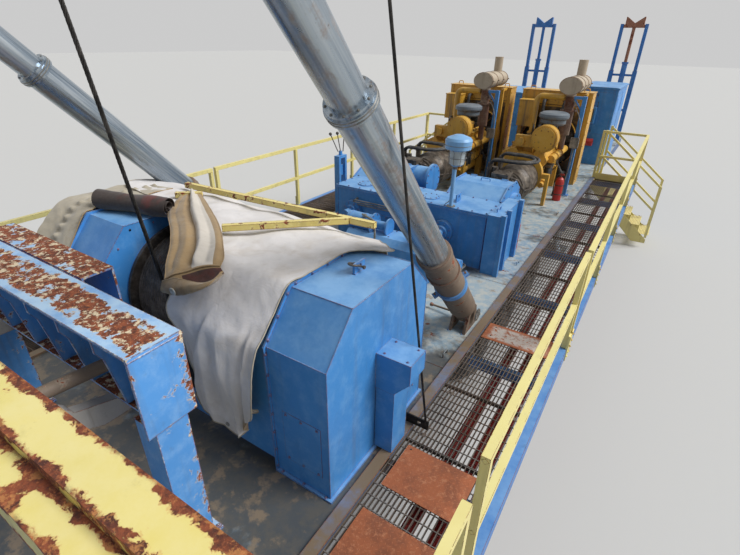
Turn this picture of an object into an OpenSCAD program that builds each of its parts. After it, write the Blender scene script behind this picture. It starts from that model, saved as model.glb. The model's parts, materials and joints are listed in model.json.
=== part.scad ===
// Trailer-mounted drilling rig: deck, drawworks, engines, raised mast and its two raising cylinders.
// X is across the rig, Y runs from the well end to the towing end, Z is up from the ground.

/* [Deck] */
// Height of the deck above the ground
deck_h = 1450; // [1350:10:1550]
// Width of the deck
deck_w = 3400; // [3200:10:3600]
// Length of deck ahead of the mast's front legs
deck_front = 17700; // [17600:50:18200]
// Depth of the two main beams
beam_h = 600; // [520:10:640]
// Radius of the tyres
tyre_r = 520; // [480:5:540]

/* [Walkways] */
// Width of the grating on each side
grate_w = 760; // [700:10:850]
// Length of the walkways
walk_len = 11100; // [10800:50:11200]
// Height of the top rail above the deck
rail_top = 1070; // [1000:10:1150]
// Height of the middle rail above the deck
rail_mid = 530; // [450:10:600]
// Side of the square rail tube
rail_bar = 50; // [40:2:60]
// Number of steps in each stair
stair_steps = 6; // [5:1:7]

/* [Drawworks] */
// Radius that is kept free for the drum's brake rims and their bands
rim_r = 620; // [560:5:620]
// Radius of the rope that is wound on the drum
rope_pack_r = 500; // [420:5:520]
// Width of each chain housing
housing_w = 480; // [420:10:500]
// Diameter of the wire rope
rope_d = 29; // [26:1:32]

/* [Power] */
// Distance between the two engines' centre lines
engine_gap = 1680; // [1640:10:1720]
// Length of an engine block
engine_len = 1700; // [1600:10:1750]
// Height of the radiators
radiator_h = 1880; // [1700:10:2000]
// Height of the compound case
case_h = 800; // [700:10:900]
// Height of the tall cabinets at the towing end
cabinet_h = 1850; // [1600:10:1950]

/* [Raising cylinders] */
// Slope of the cylinders above level, in degrees
cyl_angle = 47; // [46:0.1:48]
// Outside diameter of the barrel
barrel_d = 285; // [280:1:295]
// Diameter of the lower chrome stage
stage_1_d = 250; // [230:1:255]
// Diameter of the upper chrome stage
stage_2_d = 212; // [180:1:215]

/* [Mast] */
// Number of braced bays in the mast
mast_bays = 6; // [4:1:6]
// Height of one bay
bay_h = 2400; // [2200:50:2450]
// Side of the mast's square legs
leg_w = 200; // [180:5:210]
// Distance between the mast's front and rear legs
mast_depth = 1100; // [1050:10:1200]
// Radius of the rope's path round a sheave
sheave_r = 380; // [340:5:400]

/* [Hidden] */
$fn = 48;

// Clearances: pieces that slide, pieces that turn in a bore, and loose sheet pieces
slide_gap = 6;
bore_gap = 0.08;
loose_gap = 0.5;

plate_t = 12;
deck_rear = 100;
half = deck_w / 2;
neck_y = 15200;
neck_h = 320;
walk_y = [500, 500 + walk_len];
curb = [half, half + 90];
curb_top = 20;
grate = [curb[1], curb[1] + grate_w];
outer_beam = [grate[1], grate[1] + 80];
grate_z = [-42, -7];
rail_x = outer_beam[1] - rail_bar;

axle_y = [5200, 6600, 8000];
axle_z = 20 + tyre_r - deck_h;
tyre_w = 270;
tyre_x = [half - 820, half - 460];
rim_hole = 0.54 * tyre_r;
jack_y = [1100, 10400, 14500];
jack_x = half - 250;

housing_x = [half - 70 - housing_w, half - 70];
housing_y = [1580, 2880];
drum_y = 2300;
drum_z = rim_r + 100;
drum_gap = 10;
drum_end = housing_x[0] - drum_gap;
shaft_r = 60;
housing_h = drum_z + rim_r + 60;
housing_slope = 300;
seam = 22;
cover_z = housing_h + seam;
cover_t = 25;

cyl_x = half - 140;
foot_y = 4120;
foot_z = 180;
pin_r = 50;
eye_r = 120;
eye_w = 120;
lug_t = 30;
barrel_s = [120, 1480];
gland_s = [3170, 3240];

leg_x = cyl_x - 260;
front_leg_y = -150;
rear_leg_y = front_leg_y - mast_depth;
base_w = 250;
base_top = 3000;
hinge_z = base_top + 130;
mast_top = base_top + mast_bays * bay_h;
head_y = front_leg_y;
head_s = (foot_y - head_y) / cos(cyl_angle);
head_z = foot_z + head_s * sin(cyl_angle);
sill_w = 400;
rear_end = rear_leg_y - sill_w / 2;
mid_y = (deck_front + rear_end) / 2;

sheave_w = 70;
sheave_y = (front_leg_y + rear_leg_y) / 2;
sheave_z = mast_top + sheave_r + 220;
sheave_pitch = 120;
crown_x = [for (i = [0:3]) 113 - i * sheave_pitch];
block_x = [for (i = [0:2]) 53 - i * sheave_pitch];
block_z = 6300;

case_x = [-half + 500, half - 450];
case_y = [5500, 6130];
hood_y = [case_y[1] + 60, 7150];
engine_mid = -80;
engine_x = [engine_mid + engine_gap / 2, engine_mid - engine_gap / 2];
radiator_y = [10700, 11100];
engine_y = [radiator_y[0] - 200 - engine_len, radiator_y[0] - 200];
gearbox_y = [hood_y[1] + 10, engine_y[0]];
cabinet_y = [13000, 14900];

saddle_x = half - 400;
rest_y = 17000;
rest_post = [60, 45];
rest_half = 325;
rest_low = 2050;
rest_high = 3300;
rest_rod_r = 45;

// The rig is drawn from the deck's surface and the mast's front legs, then set on the ground
module on_ground() {
    translate([0, -mid_y, deck_h])
        children();
}

module slab(x, y, z) {
    translate([x[0], y[0], z[0]])
        cube([x[1] - x[0], y[1] - y[0], z[1] - z[0]]);
}

module pair() {
    children();
    mirror([1, 0, 0])
        children();
}

module each_engine() {
    for (x = engine_x)
        translate([x, 0, 0])
            children();
}

// A square bar from one point to another
module bar(a, b, w) {
    v = b - a;
    l = norm(v);
    translate(a)
        rotate([0, acos(v[2] / l), atan2(v[1], v[0])])
            translate([-w / 2, -w / 2, 0])
                cube([w, w, l]);
}

// A round bar from one point to another
module rod(a, b, d) {
    v = b - a;
    l = norm(v);
    translate(a)
        rotate([0, acos(v[2] / l), atan2(v[1], v[0])])
            cylinder(d = d, h = l);
}

// Round pieces lying along X, Y and Z
module disc_x(x, y, z, r) {
    translate([x[0], y, z])
        rotate([0, 90, 0])
            cylinder(r = r, h = x[1] - x[0]);
}

module disc_y(x, y, z, r) {
    translate([x, y[1], z])
        rotate([90, 0, 0])
            cylinder(r = r, h = y[1] - y[0]);
}

module disc_z(c, z, r) {
    translate([c[0], c[1], z[0]])
        cylinder(r = r, h = z[1] - z[0]);
}

// An outline in Y and Z, drawn out along X
module profile_x(x, points) {
    translate([x[0], 0, 0])
        rotate([90, 0, 90])
            linear_extrude(x[1] - x[0])
                polygon(points);
}

// An outline in X and Z, drawn out along Y
module profile_y(y, points) {
    translate([0, y[1], 0])
        rotate([90, 0, 0])
            linear_extrude(y[1] - y[0])
                polygon(points);
}

// A turned piece whose outline gives radius and place along X
module turned_x(points) {
    rotate([90, 0, 90])
        rotate_extrude()
            polygon(points);
}

// A turned piece whose outline gives radius and place along Y
module turned_y(points) {
    rotate([-90, 0, 0])
        rotate_extrude()
            polygon(points);
}

// An I-beam along Y: its web's middle, its flanges' width and its height
module i_beam(x, w, y, z, web = 20, flange = 25) {
    slab([x - w / 2, x + w / 2], y, [z[0], z[0] + flange]);
    slab([x - w / 2, x + w / 2], y, [z[1] - flange, z[1]]);
    slab([x - web / 2, x + web / 2], y, z);
}

module main_frame() {
    color("steelblue") on_ground() {
        pair() {
            i_beam(520, 240, [deck_rear, neck_y], [-beam_h, -plate_t]);
            i_beam(520, 240, [neck_y - 300, deck_front], [-neck_h, -plate_t]);
            // Side channel, open inwards
            slab([half - 15, half], [deck_rear, deck_front], [-240, -plate_t]);
            slab([half - 80, half], [deck_rear, deck_front], [-255, -240]);
        }
        for (i = [0:14])
            slab([15 - half, half - 15], [deck_rear + i * 1240, deck_rear + i * 1240 + 15], [-200, -plate_t]);
        slab([15 - half, half - 15], [deck_front - 15, deck_front], [-255, -plate_t]);
        // Towing plate and pin
        slab([-640, 640], [15700, 17200], [-neck_h - 20, -neck_h]);
        disc_z([0, 16400], [-neck_h - 110, -neck_h - 20], 45);
    }
}

module deck_plate() {
    color("lightsteelblue") on_ground()
        slab([-half, half], [deck_rear, deck_front], [-plate_t, 0]);
}

module spring_pack(y) {
    for (i = [0:3]) {
        leaf_z = axle_z + 65 + 15 * (3 - i);
        slab([480, 560], [y - 500 + 90 * i, y + 500 - 90 * i], [leaf_z, leaf_z + 15]);
    }
    for (s = [-1, 1])
        slab([485, 555], [y + s * 470 - 40, y + s * 470 + 40], [axle_z + 105, -beam_h]);
    slab([470, 570], [y - 80, y + 80], [axle_z - 75, axle_z + 66]);
}

module wheel_rim(x, y) {
    translate([x, y, axle_z])
        turned_x([[0, 90], [rim_hole, 90], [rim_hole, 110], [0.9 * rim_hole, 120],
            [0.9 * rim_hole, tyre_w - 60], [rim_hole, tyre_w - 50], [rim_hole, tyre_w - 20],
            [0.8 * rim_hole, tyre_w - 20], [0.75 * rim_hole, 150], [0.35 * rim_hole, 150],
            [0.35 * rim_hole, tyre_w - 40], [0, tyre_w - 40]]);
}

module running_gear() {
    color("dimgray") on_ground()
        for (y = axle_y) {
            disc_x([-tyre_x[1] - 100, tyre_x[1] + 100], y, axle_z, 65);
            pair() {
                spring_pack(y);
                for (x = tyre_x)
                    wheel_rim(x, y);
            }
        }
}

// Tyre section: bead, sidewall, shoulder and tread, with two grooves
module tyre_section() {
    w = tyre_w;
    polygon([[rim_hole, 25], [rim_hole, w - 25], [0.7 * tyre_r, w - 4], [0.85 * tyre_r, w],
        [0.95 * tyre_r, w - 10], [tyre_r, w - 35], [tyre_r, w - 95], [tyre_r - 14, w - 98],
        [tyre_r - 14, w - 108], [tyre_r, w - 111],
        [tyre_r, 111], [tyre_r - 14, 108], [tyre_r - 14, 98], [tyre_r, 95], [tyre_r, 35], [0.95 * tyre_r, 10],
        [0.85 * tyre_r, 0], [0.7 * tyre_r, 4]]);
}

module tyres() {
    color("black") on_ground()
        for (y = axle_y, x = tyre_x)
            pair()
                translate([x, y, axle_z])
                    rotate([90, 0, 90])
                        rotate_extrude()
                            tyre_section();
}

module jack_barrels() {
    color("steelblue") on_ground()
        for (y = jack_y)
            pair() {
                difference() {
                    union() {
                        disc_z([jack_x, y], [-950, -plate_t], 120);
                        disc_z([jack_x, y], [-950, -910], 135);
                    }
                    disc_z([jack_x, y], [-951, -900], 90);
                }
                slab([jack_x - 160, half - 80], [y - 12, y + 12], [-700, -200]);
                slab([jack_x - 160, half - 15], [y - 60, y + 60], [-240, -200]);
            }
}

module jack_feet() {
    color("silver") on_ground()
        for (y = jack_y)
            pair() {
                disc_z([jack_x, y], [100 - deck_h, -900], 75);
                disc_z([jack_x, y], [50 - deck_h, 100 - deck_h], 130);
                slab([jack_x - 240, jack_x + 240], [y - 240, y + 240], [-deck_h, 50 - deck_h]);
            }
}

bearer_step = 1575;

module walkway_frames() {
    color("steelblue") on_ground()
        pair() {
            // Outer channel, open inwards under the grating
            slab([outer_beam[1] - 12, outer_beam[1]], walk_y, [-150, 0]);
            slab(outer_beam, walk_y, [-12, 0]);
            slab(outer_beam, walk_y, [-150, -138]);
            // Inner angle, whose flat leg shows beside the deck
            slab([half, half + 10], walk_y, [-150, curb_top]);
            slab(curb, walk_y, [curb_top - 10, curb_top]);
            for (y = [walk_y[0]:bearer_step:walk_y[1] - 60])
                slab([half, outer_beam[1] - 1], [y, y + 60], [-150, grate_z[0]]);
        }
}

panel_y = [walk_y[0], 2360, 3120, 4180, 5020, 5900, 7400, 8900, 10300, walk_y[1]];

module walkway_gratings() {
    color("dimgray") on_ground()
        pair()
            for (i = [0:len(panel_y) - 2])
                slab([curb[0] + 10, outer_beam[0]], [panel_y[i] + 3, panel_y[i + 1] - 3], grate_z);
}

// Loose chequered plates on the right-hand grating: their ends along the rig and their edges beside the curb
loose_plates = [[[1150, 1660], [55, 620]], [[1880, 2300], [60, 620]], [[4010, 4330], [20, 720]]];

module checker_plates() {
    color("sienna") on_ground()
        for (p = loose_plates)
            slab([grate[0] + p[1][0], grate[0] + p[1][1]], p[0], [grate_z[1], grate_z[1] + 6]);
}

// Pipes slung under the walkways' bearers: distance from the curb, and radius
pipe_runs = [[330, 50], [520, 36], [640, 24]];

module service_pipes() {
    color("firebrick") on_ground()
        pair()
            for (p = pipe_runs)
                disc_y(grate[0] + p[0], walk_y, -150 - p[1], p[1]);
}

// Handrail panels: their ends along the rig, and how far each stands inside the outer edge
rail_panels = [[[500, 1290], 0], [[1550, 4340], 12], [[4400, walk_y[1]], 0]];

module rail_panel(y, inset) {
    x = rail_x - inset;
    posts = max(1, round((y[1] - y[0]) / 1900));
    for (z = [rail_top, rail_mid])
        slab([x, x + rail_bar], y, [z - rail_bar, z]);
    for (i = [0:posts]) {
        p = y[0] + i * (y[1] - y[0] - rail_bar) / posts;
        slab([x, x + rail_bar], [p, p + rail_bar], [0, rail_top]);
        // Foot bolted to the channel's outer face
        slab([x + rail_bar, outer_beam[1] + 10], [p - 12, p + rail_bar + 12], [0, 160]);
        slab([outer_beam[1], outer_beam[1] + 10], [p - 12, p + rail_bar + 12], [-140, 0]);
    }
}

module handrails() {
    color("khaki") on_ground()
        pair()
            for (p = rail_panels)
                rail_panel(p[0], p[1]);
}

guard_y = [walk_y[1], walk_y[1] + 50];

module end_guards() {
    color("khaki") on_ground()
        pair() {
            for (z = [rail_top, rail_mid])
                slab([half + 60, rail_x + 14], guard_y, [z - 45, z]);
            slab([half + 20, half + 70], guard_y, [-150, rail_top]);
            slab([half + 70, rail_x - 60], [guard_y[0] + 20, guard_y[0] + 28], [-20, 130]);
            slab([rail_x + 5, rail_x + rail_bar], guard_y, [-150, rail_top]);
        }
}

stair_y = [walk_y[1] + 120, walk_y[1] + 820];
stair_x = half + 40;
stair_run = 1420;
stair_drop = 1110;
tread_d = 230;
stair_end = stair_x + stair_run;

module stair_rail(y) {
    for (z = [rail_top, rail_mid])
        bar([stair_x + 60, y, z - 25], [stair_x + stair_run - 25, y, z + 25 - stair_drop], 40);
    slab([stair_x + 40, stair_x + 90], [y - 25, y + 25], [-180, rail_top]);
    slab([stair_x + stair_run - 50, stair_x + stair_run], [y - 25, y + 25],
        [-stair_drop - 90, rail_top + 40 - stair_drop]);
}

module stairs() {
    color("khaki") on_ground()
        pair() {
            // Sloping side plates, cut upright at the deck and level at the ground
            for (y = stair_y)
                profile_y([y - 6, y + 6], [[half + 2, -10], [half + 2, -240],
                    [stair_end - 290, -stair_drop - 240], [stair_end, -stair_drop - 240],
                    [stair_end, -stair_drop - 150]]);
            for (i = [0:stair_steps - 1]) {
                x = stair_x + 60 + i * (stair_run - tread_d) / (stair_steps - 1) - 30;
                z = -160 - i * (stair_drop - 130) / (stair_steps - 1);
                slab([x, x + tread_d], stair_y, [z - 6, z]);
                slab([x, x + 6], stair_y, [z - 36, z]);
            }
            slab([half, half + 60], [stair_y[0] - 6, stair_y[1] + 6], [-200, -10]);
            stair_rail(stair_y[0] - 31);
            stair_rail(stair_y[1] + 31);
        }
}

skid_z = 90;
stand_x = [drum_end - 90, drum_end];

module drawworks_skid() {
    color("steelblue") on_ground() {
        for (y = [housing_y[0] + 70, housing_y[1] + 20])
            slab([-drum_end, drum_end], [y, y + 100], [0, skid_z]);
        pair() {
            slab([drum_end - 130, drum_end], [housing_y[0] + 70, housing_y[1] + 120], [0, skid_z]);
            difference() {
                union() {
                    profile_x(stand_x, [[drum_y - 320, skid_z], [drum_y + 320, skid_z],
                        [drum_y + 130, drum_z + 60], [drum_y - 130, drum_z + 60]]);
                    disc_x(stand_x, drum_y, drum_z, 130);
                }
                disc_x([stand_x[0] - 1, stand_x[1] + 1], drum_y, drum_z, shaft_r + bore_gap);
            }
        }
    }
}

module housing_outline(grow) {
    low = housing_h - housing_slope;
    polygon([[housing_y[0] - grow, 0], [housing_y[1] + grow, 0], [housing_y[1] + grow, low + 20],
        [housing_y[1] + grow - 280, housing_h + grow], [housing_y[0] - grow + 270, housing_h + grow],
        [housing_y[0] - grow, low]]);
}

module chain_housing() {
    translate([housing_x[0], 0, 0])
        rotate([90, 0, 90]) {
            linear_extrude(housing_w)
                housing_outline(0);
            // Flange where the inner cover bolts on
            linear_extrude(12)
                housing_outline(seam);
        }
    // Base flange and the door's raised plate
    slab([housing_x[0], housing_x[1] + 25], [housing_y[0] - 25, housing_y[1] + 25], [0, 14]);
    slab([housing_x[1], housing_x[1] + 5], [housing_y[0] + 690, housing_y[1] - 120], [150, 560]);
}

module lifting_eye() {
    x = (housing_x[0] + housing_x[1]) / 2;
    difference() {
        slab([x - 8, x + 8], [drum_y - 90, drum_y + 40], [housing_h, housing_h + 75]);
        disc_x([x - 9, x + 9], drum_y - 25, housing_h + 40, 20);
    }
}

module right_chain_housing() {
    color("steelblue") on_ground() {
        chain_housing();
        lifting_eye();
    }
}

module left_chain_housing() {
    color("steelblue") on_ground()
        mirror([1, 0, 0])
            chain_housing();
}

box_y = [2130, 2350];
box_w = 270;

module side_box() {
    color("steelblue") on_ground() {
        translate([housing_x[1], 0, 0])
            profile_y(box_y, [[0, 600], [150, 600], [box_w, 740], [box_w, 900], [0, 900]]);
        slab([housing_x[1] + 5, curb[1] - 5], [box_y[0] + 5, box_y[1] - 5], [curb_top, 600]);
    }
}

// Inner plate of each brake guard, with the round opening that the drum shows through
guard_x = [660, 668];
guard_hole = rope_pack_r + 48;
guard_wall = 8;

// Guards over the brake rims: bent sheet that follows the housings' outline, open below
module brake_guards() {
    color("steelblue") on_ground()
        pair() {
            difference() {
                guard_shape([guard_x[0], housing_x[0] - 0.3], 0, skid_z + 4);
                guard_shape([guard_x[1], housing_x[0]], guard_wall, skid_z);
                disc_x([guard_x[0] - 1, guard_x[1] + 1], drum_y, drum_z, guard_hole);
            }
        }
}

// The outline of the housings, set in by a wall's thickness
module guard_shape(x, wall, low) {
    shoulder = housing_h - housing_slope;
    y = [housing_y[0] + wall, housing_y[1] - wall];
    profile_x(x, [[y[0], low], [y[1], low], [y[1], shoulder + 20 - wall / 2],
        [y[1] + wall / 2 - 280, housing_h - wall],
        [y[0] - wall / 2 + 270, housing_h - wall], [y[0], shoulder - wall / 2]]);
}

module drum() {
    side = drum_end - 140;
    rim = side - 220;
    // The rims leave room for the brake bands inside the guards
    brake_r = rim_r - 60;
    flange = guard_x[0] - 20;
    core = flange - 30;
    wraps = floor(2 * core / rope_d);
    pitch = 2 * core / wraps;
    // Outline of one end, from the shaft's end to the rope's edge: radius, and distance from the middle
    end = [[0, drum_end], [shaft_r, drum_end], [shaft_r, side], [150, side], [150, side - 90],
        [brake_r - 60, side - 90], [brake_r - 60, side], [brake_r, side], [brake_r, rim], [300, rim],
        [300, flange], [guard_hole + 20, flange], [guard_hole + 20, core]];
    last = len(end) - 1;
    color("dimgray") on_ground()
        translate([0, drum_y, drum_z])
            turned_x(concat(
                [for (p = end) [p[0], -p[1]]],
                // Ridges of the wound rope
                [for (i = [0:wraps - 1], r = [[0, 8], [0.3, 0], [0.7, 0]])
                    [rope_pack_r - r[1], (i + r[0]) * pitch - core]],
                [[rope_pack_r - 8, core]],
                [for (i = [0:last]) end[last - i]]));
}

// Where the canvas stops short of the rope, and its drop at the well side and at the far side
cover_open = 250;
cover_front = housing_y[0] - 100;
cover_hem = [500, 700];

roll_r = 70;
roll_ends = [[-1080, 1960], [-430, 2160]];

module canvas_cover() {
    h = cover_z;
    t = cover_t;
    inner = housing_x[0] - 5;
    left = -housing_x[1] - 10;
    color("linen") on_ground() {
        // Top, open over the drum on the left
        translate([0, 0, h + loose_gap])
            linear_extrude(t - loose_gap)
                polygon([[left, 2600], [left, 1850], [-inner - 30, 1850], [-inner - 30, 2270], [-450, 2270],
                    [cover_open, 1850], [housing_x[0] + 50, 1850], [housing_x[0] + 50, 2600]]);
        profile_x([left, -inner - 30], [[1851, h], [cover_front + 38, h - 300], [cover_front + 30, h - 380],
            [cover_front, h - 380], [cover_front + 13, h - 290], [1840, h + t], [1851, h + t]]);
        rod([roll_ends[0][0], roll_ends[0][1], housing_h + roll_r + loose_gap],
            [roll_ends[1][0], roll_ends[1][1], housing_h + roll_r + loose_gap], 2 * roll_r);
        profile_x([-inner, inner], [[2599, h], [2950, h], [3250, h - 300], [3250, cover_hem[1]],
            [3250 + t, cover_hem[1]], [3250 + t, h - 290], [2960, h + t], [2599, h + t]]);
        profile_x([cover_open, inner], [[1851, h], [cover_front + 38, h - 300],
            [cover_front + t, cover_hem[0]], [cover_front, cover_hem[0]], [cover_front + 13, h - 290],
            [1840, h + t], [1851, h + t]]);
    }
}

module cover_rails() {
    z = cover_z + cover_t + 25;
    color("khaki") on_ground() {
        bar([-1010, 2760, z], [1130, 2900, z], 50);
        bar([175, 2170, z], [890, 2870, z], 50);
        bar([-820, 2490, z], [-630, 2640, z], 50);
    }
}

module compound_case() {
    color("steelblue") on_ground() {
        slab([case_x[0] + 30, case_x[1] - 30], [case_y[0] + 30, case_y[1] - 30], [0, case_h - 24]);
        slab(case_x, case_y, [case_h - 44, case_h - 24]);
        slab([case_x[0] + 8, case_x[1] - 8], [case_y[0] + 8, case_y[1] - 8], [case_h - 24, case_h]);
        // Shaft bosses on the side towards the drawworks
        for (x = [case_x[0] + 330, case_x[1] - 620]) {
            disc_y(x, [case_y[0] - 40, case_y[0] + 30], 440, 160);
            disc_y(x, [case_y[0] - 90, case_y[0] - 40], 440, 100);
            disc_y(x, [case_y[0] - 210, case_y[0] - 90], 440, 62);
        }
        // Stiffeners on the end
        for (y = [case_y[0] + 60, case_y[0] + 300])
            slab([case_x[1] - 30, case_x[1]], [y, y + 14], [0, case_h - 44]);
        // Lifting plates
        for (x = [case_x[0] + 700, case_x[1] - 560])
            difference() {
                slab([x, x + 16], [case_y[0] + 240, case_y[0] + 400], [case_h, case_h + 110]);
                disc_x([x - 1, x + 17], case_y[0] + 320, case_h + 66, 24);
            }
    }
}

hood_w = [400, 420];
clutch_y = hood_y[0] + 600;

module drive_hoods() {
    low = case_h - 60;
    ridge = case_h + 100;
    color("steelblue") on_ground() {
        each_engine() {
            profile_x([-hood_w[0], hood_w[1]], [[hood_y[0], 0], [hood_y[1], 0], [hood_y[1], low],
                [hood_y[1] - 250, ridge], [hood_y[0] + 330, ridge], [hood_y[0], low]]);
            for (x = [-hood_w[0] - 8, hood_w[1] - 8])
                profile_x([x, x + 16], [[hood_y[0] - 20, 0], [hood_y[1] + 9, 0], [hood_y[1] + 9, low + 20],
                    [hood_y[1] - 240, ridge + 20], [hood_y[0] + 320, ridge + 20],
                    [hood_y[0] - 20, low + 10]]);
        }
        // Round clutch guards beside the hoods, and one on a pedestal between them
        each_engine() {
            disc_x([hood_w[1], hood_w[1] + 80], clutch_y, 430, 330);
            disc_x([hood_w[1] + 79, hood_w[1] + 110], clutch_y, 430, 200);
        }
        disc_x([-340, -100], clutch_y - 190, 800, 190);
        disc_x([-100, -60], clutch_y - 190, 800, 250);
        slab([-300, -140], [clutch_y - 310, clutch_y - 70], [0, 660]);
        // Upright chain guard at the case's end, with its channel posts
        slab([case_x[1] + 10, half - 260], [case_y[0] - 60, hood_y[0] + 100], [0, case_h + 30]);
        for (y = [case_y[0] - 80, case_y[0] + 160, hood_y[0]])
            slab([half - 260, half - 200], [y, y + 70], [0, case_h + 60]);
    }
}

pump_x = [-480, 820];
pump_y = [4720, 5200];
pump_h = 460;

module pump_drive() {
    color("steelblue") on_ground() {
        profile_x(pump_x, [[pump_y[0], 0], [pump_y[1], 0], [pump_y[1], pump_h - 80], [pump_y[1] - 90, pump_h],
            [pump_y[0] + 90, pump_h], [pump_y[0], pump_h - 80]]);
        disc_x([pump_x[0] - 60, pump_x[0] + 330], 4960, pump_h + 90, 115);
        disc_x([pump_x[0] + 330, pump_x[0] + 350], 4960, pump_h + 90, 150);
        disc_x([pump_x[0] + 350, pump_x[0] + 560], 4960, pump_h + 90, 60);
        disc_x([pump_x[0] + 560, pump_x[0] + 585], 4960, pump_h + 90, 120);
        disc_x([pump_x[1], pump_x[1] + 110], 4960, 260, 140);
        disc_x([pump_x[1] + 110, pump_x[1] + 330], 4960, 260, 85);
        // Pump on the gear case's top, with its flange and body
        disc_y(640, [4800, 4830], pump_h + 130, 125);
        disc_y(640, [4830, 5120], pump_h + 130, 95);
        slab([560, 720], [4850, 5100], [pump_h - 5, pump_h + 60]);
    }
}

column_x = case_x[0] - 400;
column_y = case_y[1] + 70;
column_h = 1060;

module lever_column() {
    color("steelblue") on_ground() {
        for (y = [column_y - 110, column_y + 60])
            slab([column_x - 50, column_x + 50], [y, y + 50], [0, column_h]);
        for (z = [0, column_h / 2, column_h - 40])
            slab([column_x - 50, column_x + 50], [column_y - 110, column_y + 110], [z, z + 40]);
        slab([column_x - 12, column_x + 12], [column_y - 61, column_y + 61],
            [column_h - 340, column_h - 160]);
        disc_z([column_x, column_y], [column_h, column_h + 70], 30);
    }
}

module transmissions() {
    y = gearbox_y;
    long = y[1] - y[0];
    bell = 0.62 * long;
    color("slategray") on_ground()
        each_engine() {
            // Turned case: input boss, ribbed gear section and bell
            translate([0, y[0], 480])
                turned_y(concat([[0, 0], [190, 0], [190, 90], [290, 90]],
                    [for (i = [0:5], r = [[290, 0], [312, 10], [312, 30], [290, 40]])
                        [r[0], 150 + i * 120 + r[1]]],
                    [[290, bell], [340, bell + 90], [340, long], [0, long]]));
            // Foot and mounting plate, with the valve block on top
            slab([-240, 240], [y[0] + 90, y[0] + 0.6 * long], [130, 400]);
            slab([-290, 290], [y[0] + 150, y[0] + 0.55 * long], [100, 130]);
            for (x = [-230, 170])
                slab([x, x + 60], [y[0] + 200, y[0] + 320], [0, 110]);
            slab([-120, 160], [y[0] + 200, y[0] + 480], [700, 860]);
            disc_z([-180, y[0] + 560], [600, 880], 55);
            // Ports that the hoses screw into
            for (r = hose_loops, s = [-1, 1])
                disc_z([port_x, hose_y + s * r], [560, port_z], 36);
        }
}

// Pairs of hoses looped over each transmission, from port to port
hose_d = 52;
hose_loops = [330, 265];
hose_y = gearbox_y[0] + 820;
hose_bend = 110;
port_x = -260;
port_z = 880;
loop_x = 130;

module power_hoses() {
    z = port_z + 0.4;
    top = port_z + 20 + hose_bend;
    color("black") on_ground()
        each_engine()
            for (r = hose_loops) {
                translate([loop_x, hose_y, top])
                    rotate([0, 0, -90])
                        rotate_extrude(angle = 180)
                            translate([r, 0])
                                circle(d = hose_d);
                for (s = [-1, 1]) {
                    disc_x([port_x + hose_bend, loop_x], hose_y + s * r, top, hose_d / 2);
                    translate([port_x + hose_bend, hose_y + s * r, top - hose_bend])
                        rotate([90, 0, 0])
                            rotate([0, 0, 90])
                                rotate_extrude(angle = 90)
                                    translate([hose_bend, 0])
                                        circle(d = hose_d);
                    disc_z([port_x, hose_y + s * r], [z, top - hose_bend], hose_d / 2);
                }
            }
}

// Top face of a bank: its inner and outer edge
bank = [[200, 1010], [330, 960]];
manifold_x = 440;
manifold_z = 830;

module engine_blocks() {
    y = engine_y;
    half_outline = [[90, 880], bank[0], bank[1], [410, 830], [310, 640], [310, 420], [250, 330]];
    last = len(half_outline) - 1;
    color("goldenrod") on_ground()
        each_engine() {
            // Flywheel housing
            disc_y(0, [y[0], y[0] + 120], 560, 390);
            // Crankcase and both banks
            profile_y([y[0] + 110, y[1]], concat(half_outline,
                [for (i = [0:last]) [-half_outline[last - i][0], half_outline[last - i][1]]]));
            // Oil pan
            profile_y([y[0] + 160, y[1] - 60], [[-160, 130], [160, 130], [230, 200], [240, 331], [-240, 331],
                [-230, 200]]);
            // Front gear cover and crank pulley
            profile_y([y[1], y[1] + 60], [[-240, 340], [240, 340], [270, 800], [150, 960], [-150, 960],
                [-270, 800]]);
            disc_y(0, [y[1] + 60, y[1] + 120], 470, 120);
            pair() {
                // Exhaust manifold with its branches
                disc_y(manifold_x, [y[0] + 300, y[1] - 200], manifold_z, 70);
                for (i = [0:5])
                    slab([320, manifold_x], [y[0] + 360 + i * 190, y[0] + 430 + i * 190],
                        [manifold_z - 40, manifold_z + 40]);
                // Feet
                slab([300, 520], [y[0] + 20, y[0] + 130], [520, 600]);
                slab([460, 520], [y[0] + 20, y[0] + 130], [0, 521]);
                slab([240, 360], [y[1] - 200, y[1] - 80], [0, 440]);
            }
        }
}

cleaner_y = engine_y[0] + 500;
cleaner_x = 310;
shelf_z = [1060, 1100];
riser_y = engine_y[0] + 1040;
pipe_d = 110;
pipe_bend = 120;
pipe_z = 1860;

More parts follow.
